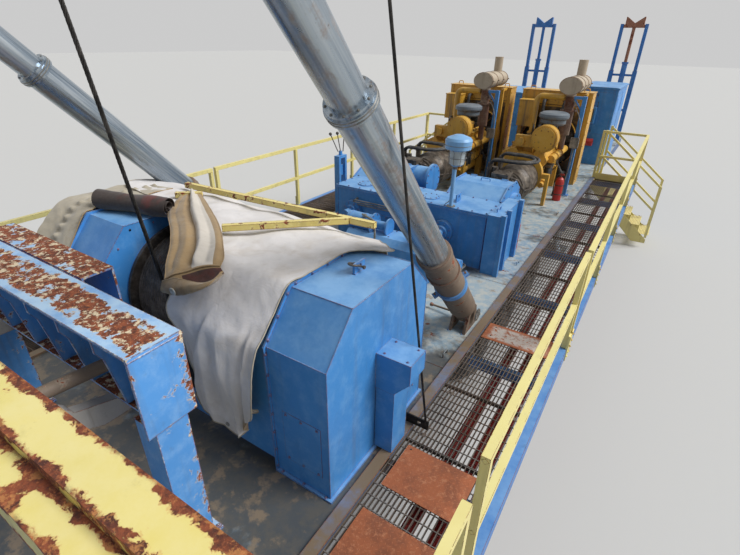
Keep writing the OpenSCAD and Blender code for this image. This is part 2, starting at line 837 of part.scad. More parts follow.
module engine_tops() {
    y = engine_y;
    mid = (bank[0] + bank[1]) / 2;
    tilt = atan((bank[0][1] - bank[1][1]) / (bank[1][0] - bank[0][0]));
    tank_y = [y[1] - 210, y[1] + 80];
    color("goldenrod") on_ground()
        each_engine() {
            // Three rocker covers on each bank
            for (s = [-1, 1], i = [0:2])
                translate([s * mid[0], y[0] + 330 + i * 430, mid[1]])
                    rotate([0, s * tilt, 0]) {
                        slab([-68, 68], [0, 380], [0.3, 20]);
                        slab([-60, 60], [12, 368], [20, 95]);
                    }
            // Shelf under the air cleaner
            slab([cleaner_x - 90, cleaner_x + 60], [cleaner_y - 90, cleaner_y + 90], shelf_z);
            // Intake trunk between the banks
            slab([-85, 85], [y[0] + 250, y[1] - 160], [880, 1170]);
            // Round drum at the flywheel end, on its saddle
            disc_y(300, [y[0] + 20, y[0] + 250], 1225, 235);
            disc_y(300, [y[0], y[0] + 20], 1225, 205);
            profile_y([y[0] + 120, y[0] + 220], [bank[0], bank[1], [400, 1150], [180, 1150]]);
            slab([-240, 110], [y[0] + 120, y[0] + 240], [1030, 1240]);
            disc_y(-120, [y[0] + 60, y[0] + 120], 1130, 70);
            // Header tank beside the radiator
            slab([-640, -290], tank_y, [1190, 1700]);
            slab([-650, -280], [tank_y[0] - 10, tank_y[1] + 5], [1700, 1720]);
            slab([-600, -560], [y[1] - 60, y[1] - 20], [0, 1190]);
            slab([-340, -300], [y[1] + 30, y[1] + 70], [0, 1190]);
            // Bent pipe from the trunk to the exhaust riser
            disc_z([-60 - pipe_bend, riser_y], [1170, pipe_z - pipe_bend], pipe_d / 2);
            slab([-60 - pipe_bend - 70, 0], [riser_y - 70, riser_y + 70], [1140, 1180]);
            translate([-60, riser_y, pipe_z - pipe_bend])
                rotate([90, 0, 0])
                    rotate([0, 0, 90])
                        rotate_extrude(angle = 90)
                            translate([pipe_bend, 0])
                                circle(d = pipe_d);
            disc_x([-60, manifold_x - 105], riser_y, pipe_z, pipe_d / 2);
        }
}

module air_cleaners() {
    color("slategray") on_ground()
        each_engine()
            translate([cleaner_x, cleaner_y, shelf_z[1]])
                rotate_extrude()
                    polygon([[0, 0], [55, 0], [55, 320], [200, 330], [225, 360], [225, 440], [262, 450],
                        [270, 480], [262, 520], [215, 548], [120, 560], [0, 564]]);
}

muffler_y = [riser_y - 260, riser_y + 740];
muffler_z = 2080;

module mufflers() {
    z = muffler_z;
    long = muffler_y[1] - muffler_y[0];
    color("tan") on_ground()
        each_engine() {
            // Oval drum with its banded seams
            translate([manifold_x, muffler_y[1], z])
                rotate([90, 0, 0]) {
                    linear_extrude(long)
                        oval(200, 150);
                    for (s = [20, long / 3, 2 * long / 3, long - 32])
                        translate([0, 0, s])
                            linear_extrude(12)
                                oval(208, 158);
                }
            disc_z([manifold_x, muffler_y[1] - 160], [z + 120, z + 420], 85);
            // Riser from the manifold
            disc_z([manifold_x, riser_y], [1640, z - 100], 85);
            disc_z([manifold_x, riser_y], [1620, 1640], 150);
            disc_z([manifold_x, riser_y], [1180, 1620], 104);
            disc_z([manifold_x, riser_y], [manifold_z + 70, 1180], 58);
        }
}

module oval(a, b) {
    polygon([for (i = [0:31]) [a * cos(i * 11.25), b * sin(i * 11.25)]]);
}

radiator_half = 710;

module radiator_frames() {
    y = radiator_y;
    w = radiator_half;
    h = radiator_h;
    color("goldenrod") on_ground()
        each_engine() {
            for (s = [-1, 1]) {
                slab([min(s * (w - 12), s * w), max(s * (w - 12), s * w)], y, [0, h]);
                for (e = [y[0], y[1] - 12])
                    slab([min(s * (w - 70), s * w), max(s * (w - 70), s * w)], [e, e + 12], [0, h]);
            }
            slab([12 - w, w - 12], y, [0, 90]);
            // Top tank with its rolled edge and filler neck
            slab([12 - w, w - 12], [y[0] + 12, y[1] - 12], [h - 260, h]);
            slab([-w - 12, w + 12], [y[0] - 12, y[1] + 12], [h, h + 14]);
            disc_z([180, (y[0] + y[1]) / 2], [h + 14, h + 70], 55);
            // Shroud and fan ring on the engine's side
            difference() {
                union() {
                    disc_y(0, [y[0] - 110, y[0] + 6], 870, 590);
                    slab([69 - w, w - 69], [y[0] + 3, y[0] + 9], [89, h - 270]);
                }
                disc_y(0, [y[0] - 111, y[0] + 13], 870, 572);
            }
            for (a = [45:90:315])
                rod([120 * cos(a), y[0] - 60, 870 + 120 * sin(a)],
                    [580 * cos(a), y[0] - 60, 870 + 580 * sin(a)], 26);
            disc_y(0, [y[0] - 90, y[0] - 20], 870, 125);
            // Post beside the fan
            slab([w - 130, w - 70], [y[0] - 320, y[0] - 260], [0, h]);
            slab([w - 120, w - 80], [y[0] - 261, y[0] + 1], [h - 40, h + 7]);
        }
}

module radiator_cores() {
    y = radiator_y;
    w = radiator_half - 12;
    color("black") on_ground()
        each_engine()
            slab([-w, w], [y[0] + 60, y[1] - 60], [90, radiator_h - 260]);
}

// Cabinets at the towing end: edges across the rig, and height
cabinets = [[[-half + 100, -half + 1150], cabinet_h - 250], [[-half + 1200, half - 920], 1450],
    [[half - 880, half], cabinet_h]];

module front_cabinets() {
    y = cabinet_y;
    color("steelblue") on_ground() {
        for (c = cabinets) {
            x = c[0];
            h = c[1];
            slab(x, y, [0, h - 30]);
            profile_y([y[0] - 30, y[1] + 30], [[x[0] - 20, h - 50], [x[1] + 20, h - 50], [x[1] + 20, h - 14],
                [x[1] - 60, h], [x[0] + 60, h], [x[0] - 20, h - 14]]);
            for (d = [0, 1])
                slab([x[0] + 60 + d * (x[1] - x[0] - 100) / 2, x[0] + 20 + (d + 1) * (x[1] - x[0] - 80) / 2],
                    [y[0] - 8, y[0]], [760, h - 120]);
        }
        // Control box on the tall cabinet
        slab([half - 800, half - 380], [y[0] - 190, y[0] - 8], [1020, 1400]);
    }
}

module mast_rest_posts() {
    color("steelblue") on_ground()
        pair() {
            for (x = [saddle_x - rest_half, saddle_x + rest_half]) {
                slab([x - 110, min(x + 110, half)], [rest_y - 110, rest_y + 110], [0, 20]);
                slab([x - rest_post[0], x + rest_post[0]], [rest_y - rest_post[0], rest_y + rest_post[0]],
                    [0, rest_low]);
                slab([x - rest_post[1], x + rest_post[1]], [rest_y - rest_post[1], rest_y + rest_post[1]],
                    [rest_low, rest_high]);
            }
            // Barrel of the hydraulic ram, with its ties to the posts
            difference() {
                union() {
                    disc_z([saddle_x, rest_y], [0, 2290], 75);
                    disc_z([saddle_x, rest_y], [2240, 2290], 92);
                    for (z = [900, 1900])
                        slab([saddle_x - rest_half + rest_post[0], saddle_x + rest_half - rest_post[0]],
                            [rest_y - 30, rest_y + 30], [z, z + 60]);
                }
                disc_z([saddle_x, rest_y], [450, 2300], rest_rod_r + bore_gap);
            }
        }
}

module saddle() {
    w = rest_half - rest_post[1] - slide_gap;
    slab([saddle_x - w, saddle_x + w], [rest_y - 60, rest_y + 60], [3200, 3280]);
    disc_z([saddle_x, rest_y], [1400, 3200], rest_rod_r);
    translate([saddle_x, 0, 0])
        profile_y([rest_y - 60, rest_y + 60], [[-250, 3280], [250, 3280], [250, 3480], [225, 3480], [0, 3320],
            [-225, 3480], [-250, 3480]]);
}

module right_saddle() {
    color("sienna") on_ground()
        saddle();
}

module left_saddle() {
    color("steelblue") on_ground()
        mirror([1, 0, 0])
            saddle();
}

// The raising cylinder's own axis: Z runs from the foot pin to the head pin
module along_cylinder() {
    pair()
        translate([cyl_x, foot_y, foot_z])
            rotate([90 - cyl_angle, 0, 0])
                children();
}

module eye() {
    rotate([0, 90, 0])
        cylinder(r = eye_r, h = eye_w, center = true);
}

module eye_bore() {
    rotate([0, 90, 0])
        cylinder(r = pin_r + loose_gap, h = 2 * eye_w, center = true);
}

module cylinder_barrels() {
    plate_x = eye_w / 2 + 5;
    color("rosybrown") on_ground() {
        along_cylinder()
            difference() {
                union() {
                    eye();
                    translate([0, 0, 60])
                        cylinder(d = eye_w - 8, h = 80);
                    translate([0, 0, barrel_s[0]])
                        cylinder(d1 = 200, d2 = barrel_d, h = 60);
                    translate([0, 0, barrel_s[0] + 60])
                        cylinder(d = barrel_d, h = barrel_s[1] - barrel_s[0] - 60);
                    translate([0, 0, 1060])
                        cylinder(d = barrel_d + 24, h = 70);
                }
                eye_bore();
            }
        pair() {
            for (x = [cyl_x - plate_x - lug_t, cyl_x + plate_x])
                profile_x([x, min(x + lug_t, half)], [[foot_y - 190, 0], [foot_y + 170, 0],
                    [foot_y + 90, foot_z + 60], [foot_y + 40, foot_z + 100], [foot_y - 50, foot_z + 100],
                    [foot_y - 100, foot_z + 50]]);
            disc_x([cyl_x - plate_x - lug_t, min(cyl_x + plate_x + lug_t, half)], foot_y, foot_z, pin_r);
        }
    }
}

module lower_stages() {
    color("silver") on_ground()
        along_cylinder() {
            translate([0, 0, barrel_s[1]])
                cylinder(d = stage_1_d, h = gland_s[0] - barrel_s[1]);
            translate([0, 0, gland_s[0]])
                cylinder(d = stage_1_d + 36, h = gland_s[1] - gland_s[0] - 20);
            translate([0, 0, gland_s[1] - 20])
                cylinder(d = stage_1_d + 20, h = 20);
        }
}

module upper_stages() {
    color("silver") on_ground()
        along_cylinder() {
            translate([0, 0, gland_s[1]])
                cylinder(d = stage_2_d, h = head_s - gland_s[1] - 200);
            difference() {
                union() {
                    translate([0, 0, head_s - 201])
                        cylinder(d = eye_w - 4, h = 140);
                    translate([0, 0, head_s])
                        eye();
                }
                translate([0, 0, head_s])
                    eye_bore();
            }
        }
}

// Cross beams at the well end: the near one is a deep box open below its top plate, with ribs
near_beam = [[770, 1060], [1020, 1520]];
far_beam = [[1090, 1290], [1050, 1500]];
near_end = housing_x[0];
rib_step = 330;

module rear_cross_beams() {
    y = near_beam[0];
    z = near_beam[1];
    color("steelblue") on_ground() {
        slab([-near_end, near_end], y, [z[1] - 16, z[1]]);
        slab([-near_end, near_end], [y[1] - 16, y[1]], z);
        slab([-near_end, near_end], [y[0] + 90, y[1]], [z[0], z[0] + 16]);
        for (x = [-near_end, near_end - 16])
            slab([x, x + 16], y, z);
        for (x = [rib_step - near_end:rib_step:near_end - 200])
            profile_x([x, x + 14], [[y[1] - 1, z[0]], [y[0] + 90, z[0]], [y[0] + 40, z[1] - 160],
                [y[0] + 8, z[1] - 100], [y[0] + 8, z[1] - 15], [y[1] - 1, z[1] - 15]]);
        // Far beam: a channel lying on its web, open at its end
        slab([-near_end, 180], far_beam[0], [far_beam[1][1] - 14, far_beam[1][1]]);
        slab([-near_end, 180], [far_beam[0][0], far_beam[0][0] + 14], far_beam[1]);
        slab([-near_end, 180], [far_beam[0][1] - 14, far_beam[0][1]], far_beam[1]);
        for (x = [-near_end + 60, -300, 120])
            slab([x, x + 50], [y[1] - 1, far_beam[0][0] + 1], [1300, 1400]);
        pair() {
            slab([near_end - 200, near_end - 20], [y[0] + 50, y[1] - 50], [0, z[0]]);
            slab([near_end - 240, near_end + 20], [y[0] + 10, y[1] - 10], [0, 16]);
        }
    }
}

// Tapered lug arms under the near beam, with an eye at the well end
module mast_lugs() {
    color("gray") on_ground()
        for (x = [-760, 660])
            difference() {
                union() {
                    profile_x([x, x + 70], [[560, 1110], [near_beam[0][0] + 85, near_beam[1][0]],
                        [near_beam[0][1] - 20, near_beam[1][0]], [near_beam[0][1] - 20, 900], [760, 900],
                        [560, 1000]]);
                    disc_x([x, x + 70], 560, 1055, 92);
                }
                disc_x([x - 1, x + 71], 560, 1055, 42);
            }
}

guard_z = [1700, 1900];
guard_beam_y = [205, 330];

module rear_guard_beam() {
    y = guard_beam_y;
    z = guard_z;
    color("khaki") on_ground() {
        difference() {
            slab([-half, half + 750], y, z);
            slab([-half - 1, half + 751], [y[0] + 10, y[1] - 10], [z[0] + 10, z[1] - 10]);
        }
        difference() {
            slab([-half, half + 750], [y[0] - 90, y[0]], [z[1] - 140, z[1] - 40]);
            slab([-half - 1, half + 751], [y[0] - 80, y[0] - 10], [z[1] - 130, z[1] - 50]);
        }
        pair()
            slab([leg_x - 100, leg_x + 100], [front_leg_y + 100, y[0] - 90], [z[1] - 140, z[1] - 40]);
    }
}

module base_leg(y, z) {
    slab([leg_x - base_w / 2, leg_x + base_w / 2], [y - base_w / 2, y + base_w / 2], z);
}

// Beam across the deck's end, under the mast's front legs
module base_cross_beam() {
    color("steelblue") on_ground()
        slab([-half, half], [base_front_y - base_w / 2, deck_rear], [-beam_h, -plate_t]);
}

base_front_y = front_leg_y - 25;

module mast_base() {
    front = base_front_y;
    ear_x = leg_w / 2 + 5;
    color("steelblue") on_ground() {
        pair() {
            base_leg(rear_leg_y, [175 - deck_h, base_top]);
            base_leg(front, [-plate_t, base_top - 40]);
            // Ears that hold the mast's hinge pin
            for (x = [leg_x - ear_x - 40, leg_x + ear_x])
                profile_x([x, x + 40], [[front - 125, base_top - 260], [front + 125, base_top - 260],
                    [front_leg_y + 100, hinge_z + 60], [front_leg_y + 50, hinge_z + 110],
                    [front_leg_y - 50, hinge_z + 110], [front_leg_y - 100, hinge_z + 60]]);
            disc_x([leg_x - ear_x - 40, leg_x + ear_x + 40], front_leg_y, hinge_z, pin_r);
            slab([leg_x - 60, leg_x + 60], [rear_leg_y, front], [1300, 1450]);
            slab([leg_x - 60, leg_x + 60], [rear_leg_y, front - base_w / 2], [-500, -350]);
            bar([leg_x, rear_leg_y + 60, 1400], [leg_x, front - 40, 2850], 90);
            bar([leg_x, rear_leg_y + 60, -400], [leg_x, front - 40, 1300], 90);
            slab([leg_x - 180, leg_x + 180], [rear_leg_y - base_w / 2 - 40, rear_leg_y + base_w / 2 + 40],
                [150 - deck_h, 176 - deck_h]);
        }
        // Anchor for the dead line
        slab([-leg_x + base_w / 2 - 10, -leg_x + base_w / 2 + 60], [rear_leg_y, sheave_y - sheave_r + 60],
            [1330, 1450]);
    }
}

// Ground beam under the rear legs
module ground_sill() {
    color("steelblue") on_ground() {
        for (z = [0, 130])
            slab([-half, half], [rear_leg_y - sill_w / 2, rear_leg_y + sill_w / 2],
                [z - deck_h, z + 20 - deck_h]);
        for (y = [-60, 40])
            slab([-half, half], [rear_leg_y + y, rear_leg_y + y + 20], [-deck_h, 150 - deck_h]);
    }
}

module mast_leg(y, z) {
    slab([leg_x - leg_w / 2, leg_x + leg_w / 2], [y - leg_w / 2, y + leg_w / 2], z);
}

module mast_side() {
    inner = leg_w / 2;
    difference() {
        mast_leg(front_leg_y, [base_top + 10, mast_top]);
        disc_x([leg_x - 2 * inner, leg_x + 2 * inner], front_leg_y, hinge_z, pin_r + loose_gap);
    }
    mast_leg(rear_leg_y, [base_top, mast_top]);
    for (i = [0:mast_bays - 1]) {
        z = base_top + i * bay_h;
        up = i % 2 == 0;
        bar([leg_x, up ? rear_leg_y : front_leg_y, z + 200],
            [leg_x, up ? front_leg_y : rear_leg_y, z + bay_h - 60], 80);
        bar([leg_x, rear_leg_y, z + bay_h - 60], [leg_x, front_leg_y, z + bay_h - 60], 90);
        // Gusset plates at the joints
        for (y = [front_leg_y - inner - 130, rear_leg_y + inner - 10])
            slab([leg_x - 10, leg_x + 10], [y, y + 140], [z + bay_h - 190, z + bay_h]);
    }
    // Clevis for the raising cylinder
    plate_x = eye_w / 2 + 5;
    for (x = [cyl_x - plate_x - 35, cyl_x + plate_x])
        profile_x([x, x + 35], [[head_y - 215, head_z - 150], [head_y, head_z - 110],
            [head_y + 75, head_z - 80], [head_y + 100, head_z], [head_y + 75, head_z + 80],
            [head_y, head_z + 110], [head_y - 215, head_z + 150]]);
    slab([leg_x + inner - 1, cyl_x + plate_x + 35], [head_y - 215, head_y - 180],
        [head_z - 150, head_z + 150]);
    slab([leg_x + inner - 1, cyl_x - plate_x - 34], [head_y - 181, head_y + 60],
        [head_z - 110, head_z + 110]);
    disc_x([cyl_x - plate_x - 35, cyl_x + plate_x + 35], head_y, head_z, pin_r);
}

module right_mast_side() {
    color("steelblue") on_ground()
        mast_side();
}

module left_mast_side() {
    color("steelblue") on_ground()
        mirror([1, 0, 0])
            mast_side();
}

module mast_bracing() {
    inner = leg_x - leg_w / 2;
    color("steelblue") on_ground()
        for (i = [0:mast_bays - 1]) {
            z = base_top + i * bay_h;
            slab([-inner, inner], [front_leg_y - 50, front_leg_y + 50], [z + bay_h - 140, z + bay_h - 40]);
            slab([-160, 160], [front_leg_y - 10, front_leg_y + 10], [z + bay_h - 320, z + bay_h - 100]);
            pair()
                intersection() {
                    bar([inner + 60, front_leg_y, z + 280], [0, front_leg_y, z + bay_h - 90], 80);
                    slab([0, inner], [front_leg_y - 60, front_leg_y + 60], [z, z + bay_h]);
                }
        }
}

bearing_x = [crown_x[3] - 300, crown_x[0] + 230];
crown_shaft_r = 60;

module crown_frame() {
    out = leg_x + 150;
    color("steelblue") on_ground() {
        // The front beam is narrower, clear of the fast line
        slab([-out, out], [front_leg_y - 40, front_leg_y + 90], [mast_top, mast_top + 180]);
        slab([-out, out], [rear_leg_y - 90, rear_leg_y + 90], [mast_top, mast_top + 180]);
        for (x = [50 - out, bearing_x[0], bearing_x[1], out - 150])
            slab([x, x + 100], [rear_leg_y, front_leg_y], [mast_top + 20, mast_top + 160]);
        for (x = bearing_x)
            difference() {
                profile_x([x + 30, x + 70], [[sheave_y - 220, mast_top + 159],
                    [sheave_y + 220, mast_top + 159], [sheave_y + 110, sheave_z + 120],
                    [sheave_y - 110, sheave_z + 120]]);
                disc_x([x, x + 100], sheave_y, sheave_z, crown_shaft_r + loose_gap);
            }
        // Guard rail round the crown
        for (x = [50 - out, out - 90], y = [rear_leg_y - 60, front_leg_y + 20])
            slab([x, x + 40], [y, y + 40], [mast_top + 180, mast_top + 1180]);
        for (z = [mast_top + 680, mast_top + 1140]) {
            for (y = [rear_leg_y - 60, front_leg_y + 20])
                slab([50 - out, out - 50], [y, y + 40], [z, z + 40]);
            for (x = [50 - out, out - 90])
                slab([x, x + 40], [rear_leg_y - 60, front_leg_y + 60], [z, z + 40]);
        }
    }
}

// A grooved sheave with a recessed web
module sheave(x, z) {
    w = sheave_w / 2;
    g = sheave_r - rope_d / 2;
    translate([x, sheave_y, z])
        turned_x([[0, -w], [110, -w], [110, -12], [g - 60, -12], [g - 60, -w], [sheave_r + 15, -w],
            [sheave_r + 15, 10 - w], [g, -rope_d / 2 - 4], [g, rope_d / 2 + 4], [sheave_r + 15, w - 10],
            [sheave_r + 15, w], [g - 60, w], [g - 60, 12], [110, 12], [110, w], [0, w]]);
}

module crown_sheaves() {
    color("dimgray") on_ground() {
        disc_x([bearing_x[0], bearing_x[1] + 100], sheave_y, sheave_z, crown_shaft_r);
        for (x = crown_x)
            sheave(x, sheave_z);
    }
}

// Where the fast line leaves the rope pack and meets its crown sheave, in Y and Z
line_r = rope_pack_r + rope_d / 2 + slide_gap;
line_tilt = atan((drum_y - sheave_y) / (sheave_z - drum_z))
    - asin((line_r + sheave_r) / norm([drum_y - sheave_y, sheave_z - drum_z]));
line_foot = [drum_y - line_r * cos(line_tilt), drum_z - line_r * sin(line_tilt)];
line_head = [sheave_y + sheave_r * cos(line_tilt), sheave_z + sheave_r * sin(line_tilt)];
line_x = -57;

// Rope bent round a sheave, from one angle to another, seen along X
module rope_turn(x, z, from, to) {
    translate([x, sheave_y, z])
        rotate([90, 0, 90])
            rotate([0, 0, from])
                rotate_extrude(angle = to - from)
                    translate([sheave_r, 0])
                        circle(d = rope_d, $fn = 16);
}

// A straight stretch of rope, kept just clear of the bends at its ends
module rope_line(a, b) {
    step = loose_gap * (b - a) / norm(b - a);
    rod(a + step, b - step, rope_d);
}

module wire_ropes() {
    near = sheave_y + sheave_r;
    far = sheave_y - sheave_r;
    color("black") on_ground() {
        rope_line([line_x, line_foot[0], line_foot[1]], [crown_x[0], line_head[0], line_head[1]]);
        rope_turn(crown_x[0], sheave_z, line_tilt, 180);
        for (i = [0:2]) {
            rope_line([crown_x[i], far, sheave_z], [block_x[i], far, block_z]);
            rope_turn(block_x[i], block_z, 180, 360);
            rope_line([block_x[i], near, block_z], [crown_x[i + 1], near, sheave_z]);
            rope_turn(crown_x[i + 1], sheave_z, 0, 180);
        }
        rope_line([crown_x[3], far, sheave_z], [-leg_x + base_w / 2 + 25, far, 1450]);
    }
}

// Thin line that hangs from the crown's front beam to an eye on the right-hand curb
line_ends = [[576, 0, mast_top + 20], [1897, 2494, 80]];
service_d = 18;

module service_line() {
    top = line_ends[0];
    foot = line_ends[1];
    color("black") on_ground() {
        rod(top, foot, service_d);
        // Eye plates at its ends
        slab([top[0] - 8, top[0] + 8], [front_leg_y + 90.3, 60], [top[2] - 40, top[2] + 120]);
        difference() {
            slab([curb[0] + 20, foot[0] + 24], [foot[1] - 5, foot[1] + 5], [curb_top + 0.3, foot[2] + 28]);
            disc_y(foot[0] - 60, [foot[1] - 6, foot[1] + 6], foot[2] - 18, 16);
        }
    }
}

module travelling_block() {
    side = [block_x[2] - 140, block_x[0] + 100];
    mid = block_x[1];
    color("goldenrod") on_ground() {
        for (x = block_x)
            sheave(x, block_z);
        disc_x([side[0], side[1] + 40], sheave_y, block_z, crown_shaft_r);
        for (x = side)
            profile_x([x, x + 40], [[sheave_y - 120, block_z - 620], [sheave_y + 120, block_z - 620],
                [sheave_y + 290, block_z - 200], [sheave_y + 290, block_z + 200],
                [sheave_y + 140, block_z + 470], [sheave_y - 140, block_z + 470],
                [sheave_y - 290, block_z + 200], [sheave_y - 290, block_z - 200]]);
        slab([side[0] + 39, side[1] + 1], [sheave_y - 110, sheave_y + 110], [block_z - 620, block_z - 470]);
        disc_z([mid, sheave_y], [block_z - 820, block_z - 619], 70);
        // Hook
        translate([mid, sheave_y, block_z - 1010])
            rotate([90, 0, 90])
                rotate([0, 0, 90])
                    rotate_extrude(angle = 290)
                        translate([160, 0])
                            circle(r = 50);
    }
}

lamp_x = 700;
lamp_y = case_y[0] + 60;

module lamps() {
    color("steelblue") on_ground() {
        disc_z([lamp_x, lamp_y], [case_h, case_h + 560], 28);
        translate([lamp_x + 20, lamp_y, case_h + 560])
            rotate_extrude()
                polygon([[0, 0], [70, 0], [92, 20], [100, 190], [165, 215], [172, 320], [150, 350],
                    [60, 385], [0, 390]]);
    }
}

// Fire extinguishers: their places on the deck
bottle_at = [[half - 330, 6510], [half - 300, 9370]];

module extinguishers() {
    color("firebrick") on_ground() {
        // Red cylinder lying against the tall cabinet
        disc_x([half - 840, half - 300], cabinet_y[0] - 90.3, 560, 90);
        for (p = bottle_at)
            translate([p[0], p[1], 0]) {
                rotate_extrude()
                    polygon([[0, 0], [75, 0], [80, 12], [80, 380], [70, 425], [40, 455], [22, 465],
                        [22, 500], [0, 500]]);
                slab([-14, 60], [-12, 12], [499, 530]);
            }
    }
}

main_frame();
deck_plate();
running_gear();
tyres();
jack_barrels();
jack_feet();
walkway_frames();
walkway_gratings();
checker_plates();
service_pipes();
handrails();
end_guards();
stairs();
drawworks_skid();
right_chain_housing();
left_chain_housing();
side_box();
brake_guards();
drum();
canvas_cover();
cover_rails();
compound_case();
drive_hoods();
pump_drive();
lever_column();
transmissions();
power_hoses();
engine_blocks();
engine_tops();
air_cleaners();
mufflers();
radiator_frames();
radiator_cores();
front_cabinets();
mast_rest_posts();
right_saddle();
left_saddle();
cylinder_barrels();
lower_stages();
upper_stages();
rear_cross_beams();
mast_lugs();
rear_guard_beam();
ground_sill();
base_cross_beam();
mast_base();
right_mast_side();
left_mast_side();
mast_bracing();
crown_frame();
crown_sheaves();
wire_ropes();
service_line();
travelling_block();
lamps();
extinguishers();
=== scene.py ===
import json
import math
from itertools import pairwise, product

import bpy
from mathutils import Euler, Matrix, Vector, noise


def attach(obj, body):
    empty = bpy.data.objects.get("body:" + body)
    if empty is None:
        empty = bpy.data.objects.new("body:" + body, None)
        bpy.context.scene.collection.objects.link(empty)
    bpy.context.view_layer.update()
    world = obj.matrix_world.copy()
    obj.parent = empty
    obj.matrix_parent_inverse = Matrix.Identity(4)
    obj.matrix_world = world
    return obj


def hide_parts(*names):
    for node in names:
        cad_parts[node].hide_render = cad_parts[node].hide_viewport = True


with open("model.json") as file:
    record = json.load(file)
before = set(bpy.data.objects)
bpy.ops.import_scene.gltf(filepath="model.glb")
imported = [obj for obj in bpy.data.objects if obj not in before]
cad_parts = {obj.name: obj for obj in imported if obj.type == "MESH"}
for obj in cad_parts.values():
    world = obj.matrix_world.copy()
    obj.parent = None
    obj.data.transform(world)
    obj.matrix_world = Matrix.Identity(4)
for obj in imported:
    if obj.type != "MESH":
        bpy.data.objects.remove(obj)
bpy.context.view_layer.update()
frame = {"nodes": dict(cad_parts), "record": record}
nodes = frame["nodes"]

# The rig's own places: x across, y from the mast's front legs, z from the deck, all in metres
DECK_Z = 1.45
REAR_Y = -8.125
ORIGIN = Vector((0, REAR_Y, DECK_Z))
# Its directions: to the right and left, to its towing end and its well end, up and down
RIGHT, LEFT, TOW, WELL, UP, DOWN = (1, 0, 0), (-1, 0, 0), (0, 1, 0), (0, -1, 0), (0, 0, 1), (0, 0, -1)
ENGINE_X = (0.76, -0.92)

# The photograph's camera: its place, its degrees down, left and over, and its lens and sensor in mm
CAMERA_AT = (2.9, 0, 2.8)
CAMERA_DOWN, CAMERA_LEFT, CAMERA_ROLL = 27.95, 31.98, 1.09
LENS, SENSOR = 21.94, 36.0
# The strengths of sky, backdrop and sun, the sun's width and turn in degrees, the floor's grey and reach
SKY, BACKDROP, SUN = 0.37, 0.6, 3.5
SUN_WIDTH, SUN_TURN = 32, (46, 0, 112)
FLOOR_GREY, FLOOR_REACH = (0.55, 0.55, 0.54), 120


def camera():
    """The photograph's camera: beside the mast's foot, looking along the deck."""
    cam = bpy.data.objects.new("camera", bpy.data.cameras.new("camera"))
    cam.data.sensor_width = SENSOR
    cam.data.lens = LENS
    cam.data.clip_end = 300.0
    turn = Euler((math.radians(90 - CAMERA_DOWN), 0, math.radians(CAMERA_LEFT))).to_matrix()
    roll = Matrix.Rotation(math.radians(CAMERA_ROLL), 3, "Z")
    cam.matrix_world = Matrix.LocRotScale(Vector(CAMERA_AT) + ORIGIN, turn @ roll, None)
    bpy.context.collection.objects.link(cam)
    bpy.context.scene.camera = cam


def srgb(red, green, blue):
    """A colour as a picture shows it, 0 to 255, for a shader."""
    return tuple(((c / 255 + 0.055) / 1.055) ** 2.4 if c > 10 else c / 255 / 12.92
                 for c in (red, green, blue))


def scaled(colour, by):
    return tuple(by * c for c in colour)


